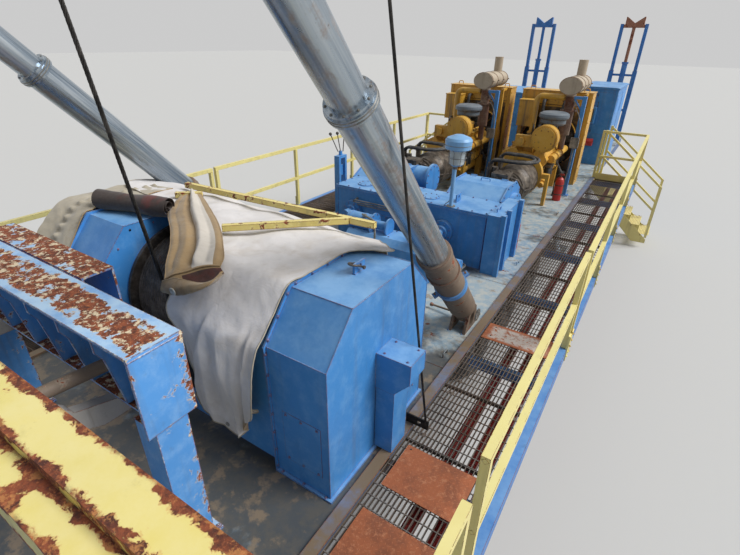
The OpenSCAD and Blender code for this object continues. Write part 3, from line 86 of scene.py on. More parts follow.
class Shader:
    """A material's nodes: textures lie in the rig's frame and their sizes are in metres."""

    def __init__(self, name):
        self.material = bpy.data.materials.new(name)
        self.material.use_nodes = True
        self.tree = self.material.node_tree
        self.surface = self.tree.nodes["Principled BSDF"]
        self.place = self.node("ShaderNodeTexCoord").outputs["Object"]
        self.facing = self.node("ShaderNodeNewGeometry").outputs["Normal"]
        self.seed = sum(ord(c) for c in name) % 50

    def give(self, socket, value):
        """Links a socket to another, or sets it to a colour or number."""
        if isinstance(value, bpy.types.NodeSocket):
            self.tree.links.new(value, socket)
        elif socket.type == "RGBA" and isinstance(value, tuple):
            socket.default_value = (*value, 1)
        else:
            socket.default_value = value

    def node(self, kind, inputs=None, **settings):
        node = self.tree.nodes.new(kind)
        for key, value in settings.items():
            setattr(node, key, value)
        for key, value in (inputs or {}).items():
            self.give(node.inputs[key], value)
        return node

    def set(self, **inputs):
        for key, value in inputs.items():
            self.give(self.surface.inputs[key.replace("_", " ")], value)

    def moved(self, stretch=(1, 1, 1), turn=(0, 0, 0)):
        """The place for the next texture, moved so that no two are alike."""
        self.seed += 7
        where = {"Vector": self.place, "Location": (self.seed, self.seed * 1.7, 0), "Rotation": turn,
                 "Scale": tuple(1 / k for k in stretch)}
        return self.node("ShaderNodeMapping", where, vector_type="TEXTURE").outputs[0]

    def noise(self, scale, detail=4, rough=0.6, bend=0.0, **place):
        inputs = {"Vector": self.moved(**place), "Scale": scale, "Detail": detail, "Roughness": rough,
                  "Distortion": bend}
        return self.node("ShaderNodeTexNoise", inputs).outputs[0]

    def maths(self, kind, a, b=0.0):
        return self.node("ShaderNodeMath", {0: a, 1: b}, operation=kind).outputs[0]

    def times(self, a, b):
        return self.maths("MULTIPLY", a, b)

    def plus(self, *values):
        total = values[0]
        for value in values[1:]:
            total = self.maths("ADD", total, value)
        return total

    def between(self, value, low, high, bottom=0.0, top=1.0):
        inputs = {"Value": value, "From Min": low, "From Max": high, "To Min": bottom, "To Max": top}
        return self.node("ShaderNodeMapRange", inputs, interpolation_type="SMOOTHSTEP").outputs[0]

    def spots(self, scale, detail, rough, low, high, bottom=0.0, top=1.0, **place):
        """Blotches of noise: bottom where it is below low, and top where it is above high."""
        return self.between(self.noise(scale, detail, rough, **place), low, high, bottom, top)

    def mix(self, share, a, b):
        node = self.node("ShaderNodeMix", data_type="RGBA")
        for i, value in ((0, share), (6, a), (7, b)):
            self.give(node.inputs[i], value)
        return node.outputs[2]

    def axis(self, vector, name):
        return self.node("ShaderNodeSeparateXYZ", {0: vector}).outputs[name]

    def edges(self, radius):
        """Near 1 along the edges of the shape, and 0 on its flat faces."""
        soft = self.node("ShaderNodeBevel", {"Radius": radius}, samples=4).outputs[0]
        same = self.node("ShaderNodeVectorMath", {0: soft, 1: self.facing}, operation="DOT_PRODUCT")
        return self.between(same.outputs["Value"], 0.995, 0.85)

    def bump(self, height, depth):
        return self.node("ShaderNodeBump", {"Height": height, "Distance": depth, "Strength": 1.0}).outputs[0]


RUST_DARK = srgb(78, 42, 32)
RUST_MID = srgb(140, 74, 45)
RUST_LIGHT = srgb(184, 112, 68)
# The colour of the painted shade on the frame under the deck
UNDERDECK_SHADE_COLOUR = srgb(46, 39, 34)
DIRT = srgb(92, 82, 70)


def rust_colour(s):
    """Grainy rust of three browns."""
    grain = s.mix(s.spots(28, 6, 0.7, 0.36, 0.62), RUST_DARK, RUST_MID)
    return s.mix(s.spots(60, 5, 0.7, 0.52, 0.7), grain, RUST_LIGHT)


def paint(name, colour, faded, rust=0.3, patch=5.0, edge=0.3, edge_r=0.01, chalk=0.4, dirt=0.35,
          primer=None, gloss=0.42, flecks=0.0, more=None, cover_and_shade=None):
    """Weathered paint on steel: faded tops, dirt that has run down the sides, and rust that starts at the
    edges. rust is how far it has spread, flecks is how much old paint still stands in it, and more adds to it
    where the piece has its own pattern. The covering function gives how much each place is covered, and with
    what colour: grime or the part's own colour on most pieces, and painted shade under the deck on the frame."""
    s = Shader(name)
    up = s.axis(s.facing, "Z")
    base = s.mix(s.spots(0.9, 4, 0.6, 0.35, 0.65), colour, scaled(colour, 0.88))
    base = s.mix(s.spots(8, 6, 0.7, 0.42, 0.7, 0, 0.2), base, faded)
    # Chalky tops, and a film of dirt in runs down the sides
    top = s.between(up, 0.45, 0.95)
    worn = s.spots(3.2, 6, 0.7, 0.3, 0.65, 0.25, 1.0)
    base = s.mix(s.times(s.times(top, worn), chalk), base, faded)
    runs = s.spots(9, 4, 0.6, 0.5, 0.75, stretch=(1, 1, 0.07))
    side = s.maths("SUBTRACT", 1.0, s.maths("ABSOLUTE", up))
    base = s.mix(s.times(s.times(runs, side), dirt), base, DIRT)
    scuff = s.spots(7, 8, 0.75, 0.56, 0.72)
    base = s.mix(s.times(scuff, 0.55 * dirt), base, scaled(DIRT, 0.5))
    # Colours laid over in patches: grime and the parts' own colours on most finishes, painted shade under the
    # deck on the frame
    if cover_and_shade:
        share, cover = cover_and_shade(s)
        base = s.mix(s.times(share, s.spots(3, 7, 0.7, 0.3, 0.55, 0.55, 1.0)), base, cover)
    # Rust, with a paler rim where the paint lifts
    level = s.plus(s.noise(patch, 9, 0.66, bend=0.3), s.times(s.edges(edge_r), edge),
                   s.times(s.noise(70, 4, 0.6), 0.1))
    if more:
        level = s.plus(level, more(s))
    start = 0.95 - 0.36 * rust
    rim = s.between(level, start - 0.035, start)
    rusty = s.between(level, start, start + 0.02)
    primer = primer or tuple(min(1, 1.2 * c + 0.03) for c in faded)
    base = s.mix(s.times(rim, 0.45), base, primer)
    base = s.mix(rusty, base, rust_colour(s))
    if flecks:
        left = s.times(s.times(rusty, s.spots(22, 7, 0.72, 0.53, 0.58)), flecks)
        base = s.mix(left, base, primer)
    # Thin scratches and chips in clean paint
    chip = s.spots(34, 8, 0.75, 0.69, 0.72, stretch=(0.4, 1, 0.6))
    s.set(Base_Color=s.mix(s.times(chip, 0.75), base, RUST_DARK))
    grain = s.noise(110, 4, 0.65)
    s.set(Roughness=s.plus(s.between(rusty, 0, 1, gloss, 0.85), s.between(grain, 0.3, 0.7, -0.05, 0.1)))
    height = s.plus(s.times(rusty, -0.5), s.times(s.times(grain, rusty), 1.6), s.times(s.noise(2.5, 3), 0.8),
                    s.times(grain, 0.12))
    s.set(Normal=s.bump(height, 0.0022))
    return s.material


def dark_iron(name, colour, light, shine=0.45, metal=0.5, rust=0.3):
    """Greasy cast iron or bare steel, with rust and pale wear."""
    s = Shader(name)
    base = s.mix(s.spots(9, 6, 0.7, 0.35, 0.65), colour, light)
    grime = s.spots(4, 6, 0.7, 0.45, 0.62, bend=0.5)
    base = s.mix(s.times(grime, 0.6), base, scaled(colour, 0.3))
    rusty = s.spots(6, 8, 0.7, 0.78 - 0.3 * rust, 0.84 - 0.3 * rust)
    base = s.mix(rusty, base, rust_colour(s))
    base = s.mix(s.times(s.edges(0.006), 0.5), base, light)
    s.set(Base_Color=base, Metallic=s.between(rusty, 0, 1, metal, 0.0))
    s.set(Roughness=s.between(s.plus(s.noise(30, 4), rusty), 0.3, 1.2, shine, 0.9))
    s.set(Normal=s.bump(s.plus(s.noise(45, 5, 0.7), s.times(rusty, 0.4)), 0.0025))
    return s.material


def chrome(name, slope):
    """A weathered chrome rod: bright and dull bands along it, painted as reflections of its surroundings,
    brown runs and specks.
    """
    s = Shader(name)
    turn = (math.radians(slope), 0, 0)
    # Painted reflections: broad bright and dull bands and fine bright streaks along the rod stand in for the
    # surroundings mirrored in it; the streaks also vary its roughness
    band = s.noise(7, 3, 0.5, stretch=(1, 1, 0.02), turn=turn)
    painted_glint_streaks = s.noise(40, 4, 0.6, stretch=(1, 1, 0.03), turn=turn)
    base = s.mix(s.between(band, 0.35, 0.65), srgb(176, 186, 194), srgb(120, 134, 148))
    base = s.mix(s.between(painted_glint_streaks, 0.45, 0.7, 0, 0.6), base, srgb(205, 210, 212))
    stain = s.between(s.plus(s.noise(5, 5, 0.6, stretch=(1, 1, 0.05), turn=turn),
                             s.times(s.noise(14, 6, 0.7), 0.35)), 0.74, 0.84)
    base = s.mix(s.times(stain, 0.65), base, srgb(122, 98, 78))
    speck = s.spots(55, 5, 0.7, 0.66, 0.72)
    base = s.mix(s.times(speck, 0.7), base, srgb(84, 62, 48))
    s.set(Base_Color=base, Metallic=s.between(stain, 0, 1, 0.85, 0.25))
    s.set(Roughness=s.plus(s.between(painted_glint_streaks, 0.3, 0.7, 0.22, 0.4), s.times(stain, 0.25)))
    s.set(Normal=s.bump(s.plus(s.noise(5, 2), s.times(s.noise(140, 3), 0.1)), 0.001))
    return s.material


def canvas(name, colour, stain_colour, stain=0.5):
    """Heavy proofed canvas: plain weave, creases, rubbed dirt and brown water stains."""
    s = Shader(name)
    base = s.mix(s.spots(2.2, 5, 0.6, 0.35, 0.65), colour, scaled(colour, 0.86))
    blot = s.spots(3.0, 7, 0.62, 0.5, 0.7, bend=0.6)
    base = s.mix(s.times(blot, stain), base, stain_colour)
    rim = s.spots(7, 7, 0.7, 0.56, 0.72)
    base = s.mix(s.times(rim, 0.5 * stain), base, scaled(stain_colour, 0.55))
    low = s.between(s.axis(s.place, "Z"), DECK_Z + 1.3, DECK_Z + 0.5)
    greyed = tuple(k * c for k, c in zip((0.56, 0.53, 0.47), colour))
    base = s.mix(s.times(s.times(low, s.spots(5, 5, 0.6, 0.25, 0.6, 0.4, 1.0)), 0.8), base, greyed)
    s.set(Base_Color=base, Roughness=s.spots(40, 3, 0.6, 0.3, 0.7, 0.75, 0.95))
    s.set(Sheen_Weight=0.25, Sheen_Roughness=0.5)
    threads = [s.noise(420, 1, 0.4, stretch=stretch) for stretch in ((1, 0.02, 0.3), (0.02, 1, 0.3))]
    crease = s.maths("ABSOLUTE", s.maths("SUBTRACT", s.noise(5, 4, 0.5, bend=0.6), 0.5))
    s.set(Normal=s.bump(s.plus(s.times(s.plus(*threads), 0.1), s.times(crease, 2.2)), 0.005))
    return s.material


def rubber(name, colour, light):
    """Grey perished rubber with dust on its upper side."""
    s = Shader(name)
    base = s.mix(s.spots(12, 5, 0.65, 0.4, 0.65), colour, light)
    dust = s.times(s.between(s.axis(s.facing, "Z"), 0.2, 1.0), s.spots(6, 5, 0.6, 0.4, 0.7))
    base = s.mix(s.times(dust, 0.45), base, srgb(118, 108, 94))
    s.set(Base_Color=base, Roughness=s.spots(30, 4, 0.6, 0.3, 0.7, 0.5, 0.85))
    s.set(Normal=s.bump(s.noise(90, 4), 0.0012))
    return s.material


def grating_metal():
    """Bare grating bars: dark, brown with dirt, and bright where boots rub their tops."""
    s = Shader("grating_metal")
    base = s.mix(s.spots(3, 6, 0.7, 0.4, 0.6), srgb(66, 58, 52), srgb(98, 84, 72))
    base = s.mix(s.spots(40, 5, 0.7, 0.5, 0.7, 0, 0.7), base, srgb(120, 84, 62))
    top = s.times(s.between(s.axis(s.facing, "Z"), 0.6, 1.0), s.spots(1.4, 5, 0.6, 0.35, 0.65))
    base = s.mix(s.times(top, 0.7), base, srgb(146, 138, 130))
    s.set(Base_Color=base, Metallic=0.35, Roughness=s.between(top, 0, 1, 0.75, 0.42))
    s.set(Normal=s.bump(s.noise(120, 4), 0.0012))
    return s.material


def deck_steel():
    """The deck's pale blue paint, scuffed through to grey and stained with oil and mud."""
    s = Shader("deck_steel")
    base = s.mix(s.spots(1.1, 6, 0.65, 0.38, 0.62), srgb(150, 168, 178), srgb(120, 148, 168))
    base = s.mix(s.spots(9, 7, 0.7, 0.4, 0.62, 0, 0.85), base, srgb(184, 184, 176))
    near = s.between(s.axis(s.place, "Y"), REAR_Y + 4.6, REAR_Y + 2.6, 0, 0.26)
    oil = s.between(s.plus(s.noise(1.6, 8, 0.62, bend=0.2), near), 0.53, 0.68)
    base = s.mix(s.times(oil, 0.85), base, srgb(58, 52, 47))
    mud = s.between(s.plus(s.noise(4.2, 8, 0.7), s.times(near, 0.25)), 0.57, 0.66)
    base = s.mix(s.times(mud, 0.7), base, srgb(140, 122, 100))
    rusty = s.between(s.plus(s.noise(3.5, 9, 0.7), s.times(s.edges(0.01), 0.2)), 0.64, 0.67)
    base = s.mix(rusty, base, rust_colour(s))
    s.set(Base_Color=base, Roughness=s.between(s.plus(oil, s.noise(20, 4)), 0.2, 1.4, 0.75, 0.35))
    s.set(Normal=s.bump(s.plus(s.noise(2, 3), s.times(s.noise(60, 5), 0.25), s.times(rusty, 0.3)), 0.003))
    return s.material


def plates():
    """Rusted chequered plate; the farthest of the three is worn pale inside a rusty border."""
    s = Shader("checker_steel")
    base = s.mix(s.spots(5, 7, 0.7, 0.4, 0.62), srgb(176, 100, 62), srgb(132, 78, 54))
    base = s.mix(s.spots(26, 6, 0.75, 0.52, 0.68), base, srgb(206, 140, 100))
    raised = s.between(s.axis(s.place, "Z"), DECK_Z - 0.0013, DECK_Z - 0.0001)
    base = s.mix(s.times(raised, 0.55), s.mix(0.35, base, srgb(112, 58, 36)), srgb(216, 140, 96))
    y = s.axis(s.place, "Y")
    x = s.axis(s.place, "X")
    along = s.times(s.between(y, REAR_Y + 4.03, REAR_Y + 4.07), s.between(y, REAR_Y + 4.31, REAR_Y + 4.27))
    across = s.times(s.between(x, 1.84, 1.9), s.between(x, 2.5, 2.4))
    pale = s.times(s.times(along, across), s.spots(18, 7, 0.75, 0.38, 0.52))
    base = s.mix(s.times(pale, 0.85), base, srgb(196, 190, 182))
    s.set(Base_Color=base, Roughness=s.between(pale, 0, 1, 0.85, 0.55))
    s.set(Normal=s.bump(s.noise(70, 5, 0.7), 0.0015))
    return s.material


def dial():
    """A gauge's pale face with specks, under dusty glass."""
    s = Shader("gauge_face")
    base = s.mix(s.spots(30, 5, 0.6, 0.4, 0.65), srgb(206, 204, 192), srgb(168, 162, 146))
    speck = s.spots(160, 3, 0.6, 0.6, 0.66)
    s.set(Base_Color=s.mix(speck, base, srgb(60, 56, 52)))
    s.set(Roughness=s.spots(20, 4, 0.6, 0.3, 0.7, 0.12, 0.4))
    s.set(Coat_Weight=0.6)
    return s.material


BLUE = srgb(62, 133, 199)
BLUE_DEEP = srgb(46, 112, 184)
BLUE_PALE = srgb(146, 188, 224)
YELLOW = srgb(216, 190, 98)
YELLOW_PALE = srgb(236, 226, 160)
GOLD = srgb(208, 158, 56)
GOLD_PALE = srgb(222, 190, 116)


def near_rust(s):
    """More rust on the top faces of the two beams at the well end: a band along the near one that fades
    towards its free end, and nearly all of the far one. The near one's end plate has chips at one edge."""
    up = s.between(s.axis(s.facing, "Z"), 0.5, 0.9)
    side = s.between(s.axis(s.facing, "X"), 0.5, 0.9)
    x, y = s.axis(s.place, "X"), s.axis(s.place, "Y")
    far = s.between(y, REAR_Y + 1.07, REAR_Y + 1.09)
    band = s.times(s.between(y, REAR_Y + 0.78, REAR_Y + 0.84), s.between(y, REAR_Y + 1.06, REAR_Y + 0.98))
    fade = s.between(x, 1.18, 1.07)
    chips = s.times(side, s.between(y, REAR_Y + 0.95, REAR_Y + 1.06))
    return s.plus(s.times(up, s.plus(s.times(far, 0.28), s.times(s.times(band, fade), 0.27), -0.03)),
                  s.times(chips, 0.13))


def guard_rust(s):
    """Wide ragged rust along both edges of the guard beam and of the rail below it."""
    up = s.maths("ABSOLUTE", s.axis(s.facing, "Z"))
    side = s.maths("SUBTRACT", 1.0, up)
    y = s.maths("SUBTRACT", s.axis(s.place, "Y"), REAR_Y)
    z = s.maths("SUBTRACT", s.axis(s.place, "Z"), DECK_Z)
    rail = s.between(y, 0.206, 0.203)
    beam = s.maths("SUBTRACT", 1.0, rail)

    def away(value, middle, low, high):
        return s.between(s.maths("ABSOLUTE", s.maths("SUBTRACT", value, middle)), low, high)

    top = s.plus(s.times(beam, away(y, 0.2675, 0.02, 0.062)), s.times(rail, away(y, 0.16, 0.0, 0.044)))
    front = s.plus(s.times(beam, away(z, 1.8, 0.04, 0.1)), s.times(rail, away(z, 1.81, 0.01, 0.05)))
    return s.times(s.plus(s.times(up, top), s.times(side, front)), 0.21)


def inside(s, axis, low, high, soft=0.01):
    """1 where a place lies between two places along an axis of the rig."""
    shift = {"X": 0, "Y": REAR_Y, "Z": DECK_Z}[axis]
    value = s.axis(s.place, axis)
    return s.times(s.between(value, low + shift - soft, low + shift + soft),
                   s.between(value, high + shift + soft, high + shift - soft))


def curb_grime(s):
    """The inner curbs of the walkways are brown with trodden dirt, most of all near the well."""
    inner = s.between(s.maths("ABSOLUTE", s.axis(s.place, "X")), 1.84, 1.8)
    near = s.between(s.axis(s.place, "Y"), REAR_Y + 14, REAR_Y + 4, 0.5, 1.0)
    return s.times(inner, near), srgb(122, 104, 82)


def shroud_black(s):
    """The radiators are black inside their yellow frames."""
    share = 0.0
    for mid in ENGINE_X:
        share = s.plus(share, inside(s, "X", mid - 0.63, mid + 0.625, 0.004))
    share = s.times(s.times(share, inside(s, "Z", -0.1, 1.58, 0.004)), inside(s, "Y", 10.5, 11.2))
    flat = s.between(s.maths("ABSOLUTE", s.axis(s.facing, "X")), 0.6, 0.4)
    return s.times(share, flat), srgb(40, 36, 33)


def riser_brown(s):
    """The exhaust risers are scorched brown below the mufflers."""
    return s.between(s.axis(s.place, "Z"), DECK_Z + 1.93, DECK_Z + 1.86), srgb(104, 72, 58)


def lamp_jar(s):
    """The lamp's jar is dull grey glass below its blue dome."""
    return inside(s, "Z", 1.37, 1.55, 0.005), srgb(176, 184, 186)


def underdeck_painted_shade(s):
    """Painted shade: the frame is darkened in patches below the deck top, where the deck shades it."""
    return s.times(s.between(s.axis(s.place, "Z"), DECK_Z + 0.02, DECK_Z - 0.02), 0.6), UNDERDECK_SHADE_COLOUR


def finishes():
    """One material for each finish the photograph shows."""
    return {
        # The frame's cover is painted shade: it darkens in patches below the deck top
        "frame_blue": paint("frame_blue_paint", BLUE_DEEP, BLUE_PALE, rust=0.46, edge=0.5, dirt=0.4,
                            cover_and_shade=underdeck_painted_shade),
        "walk_blue": paint("walk_blue_paint", BLUE_DEEP, BLUE_PALE, rust=0.46, edge=0.5, dirt=0.4,
                           cover_and_shade=curb_grime),
        "louvre_blue": paint("louvre_blue_paint", BLUE, BLUE_PALE, rust=0.05, edge=0.0, dirt=0.3),
        "radiator_yellow": paint("radiator_yellow_paint", GOLD, GOLD_PALE, rust=0.4, patch=9, dirt=0.8,
                                 chalk=0.3, gloss=0.35, cover_and_shade=shroud_black),
        "lamp_blue": paint("lamp_blue_paint", srgb(120, 172, 220), BLUE_PALE, edge_r=0.004, dirt=0.3,
                           cover_and_shade=lamp_jar),
        "worn_pale": paint("worn_pale_paint", srgb(176, 170, 162), srgb(206, 202, 196), rust=0.5, patch=14,
                           dirt=0.9, flecks=0.4),
        "greasy_iron": dark_iron("greasy_iron", srgb(62, 54, 47), srgb(118, 108, 96), rust=0.5, metal=0.3),
        "beam_blue": paint("beam_blue_paint", srgb(84, 150, 216), srgb(176, 206, 232), rust=0.7, patch=11,
                           edge_r=0.012, chalk=1.0, primer=srgb(224, 208, 176), flecks=0.9, more=near_rust),
        "machine_blue": paint("machine_blue_paint", BLUE, BLUE_PALE, rust=0.22, edge=0.5, edge_r=0.006,
                              dirt=0.22, chalk=0.6),
        "mast_blue": paint("mast_blue_paint", BLUE_DEEP, BLUE_PALE, rust=0.42, edge=0.5, dirt=0.4,
                           edge_r=0.008),
        "rail_yellow": paint("rail_yellow_paint", srgb(232, 218, 142), YELLOW_PALE, rust=0.45, patch=9,
                             edge=0.25, edge_r=0.008, dirt=0.3),
        "guard_yellow": paint("guard_yellow_paint", srgb(230, 212, 116), srgb(236, 224, 164), rust=0.7,
                              patch=10, edge=0.1, edge_r=0.02, dirt=0.3, chalk=0.6,
                              primer=srgb(210, 146, 84), flecks=0.5, more=guard_rust),
        "rusty_yellow": paint("rusty_yellow_paint", srgb(222, 202, 118), YELLOW_PALE, rust=0.92, patch=12,
                              edge=0.4, edge_r=0.012, dirt=0.3),
        "engine_yellow": paint("engine_yellow_paint", GOLD, GOLD_PALE, rust=0.42, patch=9, dirt=0.9,
                               chalk=0.3, gloss=0.35),
        "deck_paint": deck_steel(),
        "grating_steel": grating_metal(),
        "rust_plate": plates(),
        "chrome_rod": chrome("weathered_chrome", 43),
        "barrel_brown": paint("barrel_brown_paint", srgb(116, 100, 86), srgb(144, 128, 110), rust=0.8,
                              patch=8, dirt=0.7, gloss=0.6),
        "dark_steel": dark_iron("dark_iron", srgb(70, 62, 56), srgb(112, 104, 96), rust=0.45),
        "grey_metal": dark_iron("grey_iron", srgb(98, 98, 96), srgb(150, 148, 142), rust=0.4, metal=0.25),
        "dial": dial(),
        "air_filter": paint("filter_paint", srgb(92, 102, 112), srgb(140, 146, 150), rust=0.25, dirt=0.5),
        "muffler_metal": paint("muffler_skin", srgb(176, 160, 138), srgb(204, 192, 172), rust=0.5, patch=6,
                               dirt=0.5, gloss=0.5, cover_and_shade=riser_brown),
        "core_black": dark_iron("core_iron", srgb(34, 34, 34), srgb(70, 68, 64), metal=0.1, rust=0.15),
        "tyre_rubber": rubber("tyre_rubber", srgb(38, 38, 38), srgb(66, 64, 62)),
        "hose_rubber": rubber("hose_rubber", srgb(34, 34, 35), srgb(70, 70, 70)),
        "rope_wire": dark_iron("rope_wire", srgb(32, 31, 30), srgb(74, 70, 66), shine=0.35, metal=0.6,
                               rust=0.05),
        "red_paint": paint("red_paint", srgb(176, 40, 36), srgb(196, 92, 80), rust=0.35, patch=8, dirt=0.5),
        "rust_rail": paint("rust_rail_paint", srgb(150, 96, 70), srgb(170, 124, 96), rust=0.95),
        "canvas": canvas("canvas_white", srgb(222, 218, 216), srgb(176, 160, 138), 0.35),
        "canvas_under": canvas("canvas_tan", srgb(156, 130, 92), srgb(108, 84, 54), 0.7),
        "canvas_grey": canvas("canvas_grey", srgb(178, 168, 148), srgb(124, 108, 84), 0.55),
        "canvas_strip": canvas("canvas_strip", srgb(206, 198, 186), srgb(160, 144, 120), 0.5),
        # Dark brown canvas with red stains; the flap's cuff hollow and the roll use it partly as painted
        # shade
        "canvas_dark": canvas("canvas_dark", srgb(58, 46, 40), srgb(112, 40, 34), 0.55),
    }


def dress_nodes(finish):
    """Every CAD node that shows gets the finish of its record slot, or a closer one of its own."""
    own = {"rear_cross_beams": "beam_blue", "rear_guard_beam": "guard_yellow", "cover_rails": "rusty_yellow",
           "walkway_frames": "walk_blue", "radiator_frames": "radiator_yellow", "lamps": "lamp_blue",
           "mast_lugs": "worn_pale", "transmissions": "greasy_iron"}
    own.update({n: "mast_blue" for n in ("right_mast_side", "left_mast_side", "mast_bracing", "crown_frame")})
    for part in frame["record"]["subparts"]:
        obj = nodes[part["node"]]
        material = finish[own.get(part["node"], part["material_slot"])]
        if not obj.material_slots:
            obj.data.materials.append(material)
        for slot in obj.material_slots:
            slot.material = material


def floor():
    """The plain pale floor."""
    mesh = bpy.data.meshes.new("floor")
    corners = [(x * FLOOR_REACH, y * FLOOR_REACH, 0) for x, y in ((-1, -1), (1, -1), (1, 1), (-1, 1))]
    mesh.from_pydata(corners, [], [(0, 1, 2, 3)])
    obj = bpy.data.objects.new("floor", mesh)
    bpy.context.collection.objects.link(obj)
    s = Shader("floor")
    s.set(Base_Color=FLOOR_GREY, Roughness=0.9)
    mesh.materials.append(s.material)


def light():
    """Soft daylight: a white sky, and a wide sun from the right and behind the rig."""
    world = bpy.data.worlds.new("world")
    bpy.context.scene.world = world
    world.use_nodes = True
    nodes, links = world.node_tree.nodes, world.node_tree.links
    # What the camera, glossy metal and glass see is a paler backdrop
    sky, backdrop = nodes["Background"], nodes.new("ShaderNodeBackground")
    for background, strength in ((sky, SKY), (backdrop, BACKDROP)):
        background.inputs["Color"].default_value = (1, 1, 1, 1)
        background.inputs["Strength"].default_value = strength
    rays = nodes.new("ShaderNodeLightPath")
    share = rays.outputs["Is Camera Ray"]
    for ray in ("Is Glossy Ray", "Is Transmission Ray"):
        either = nodes.new("ShaderNodeMath")
        either.operation = "MAXIMUM"
        links.new(share, either.inputs[0])
        links.new(rays.outputs[ray], either.inputs[1])
        share = either.outputs[0]
    mix = nodes.new("ShaderNodeMixShader")
    links.new(share, mix.inputs[0])
    links.new(sky.outputs[0], mix.inputs[1])
    links.new(backdrop.outputs[0], mix.inputs[2])
    links.new(mix.outputs[0], nodes["World Output"].inputs["Surface"])
    sun = bpy.data.objects.new("sun", bpy.data.lights.new("sun", "SUN"))
    sun.data.energy = SUN
    sun.data.angle = math.radians(SUN_WIDTH)
    sun.rotation_euler = [math.radians(turn) for turn in SUN_TURN]
    bpy.context.collection.objects.link(sun)


def bent(points, r=0.05, steps=5):
    """A route with its corners rounded, as a pipe is bent."""
    points = [Vector(p) for p in points]
    path = [points[0]]
    for a, b, c in zip(points, points[1:], points[2:]):
        cut = min(r, (b - a).length * 0.48, (c - b).length * 0.48)
        start, end = b + (a - b).normalized() * cut, b + (c - b).normalized() * cut
        for i in range(steps + 1):
            t = i / steps
            path.append(start * (1 - t) ** 2 + b * 2 * t * (1 - t) + end * t * t)
    return path + [points[-1]]


def circle(at, r, count, side=RIGHT, up=TOW):
    """Places on a circle, the first one again at its end."""
    turns = [math.tau * k / count for k in range(count + 1)]
    return [Vector(at) + (Vector(side) * math.cos(a) + Vector(up) * math.sin(a)) * r for a in turns]


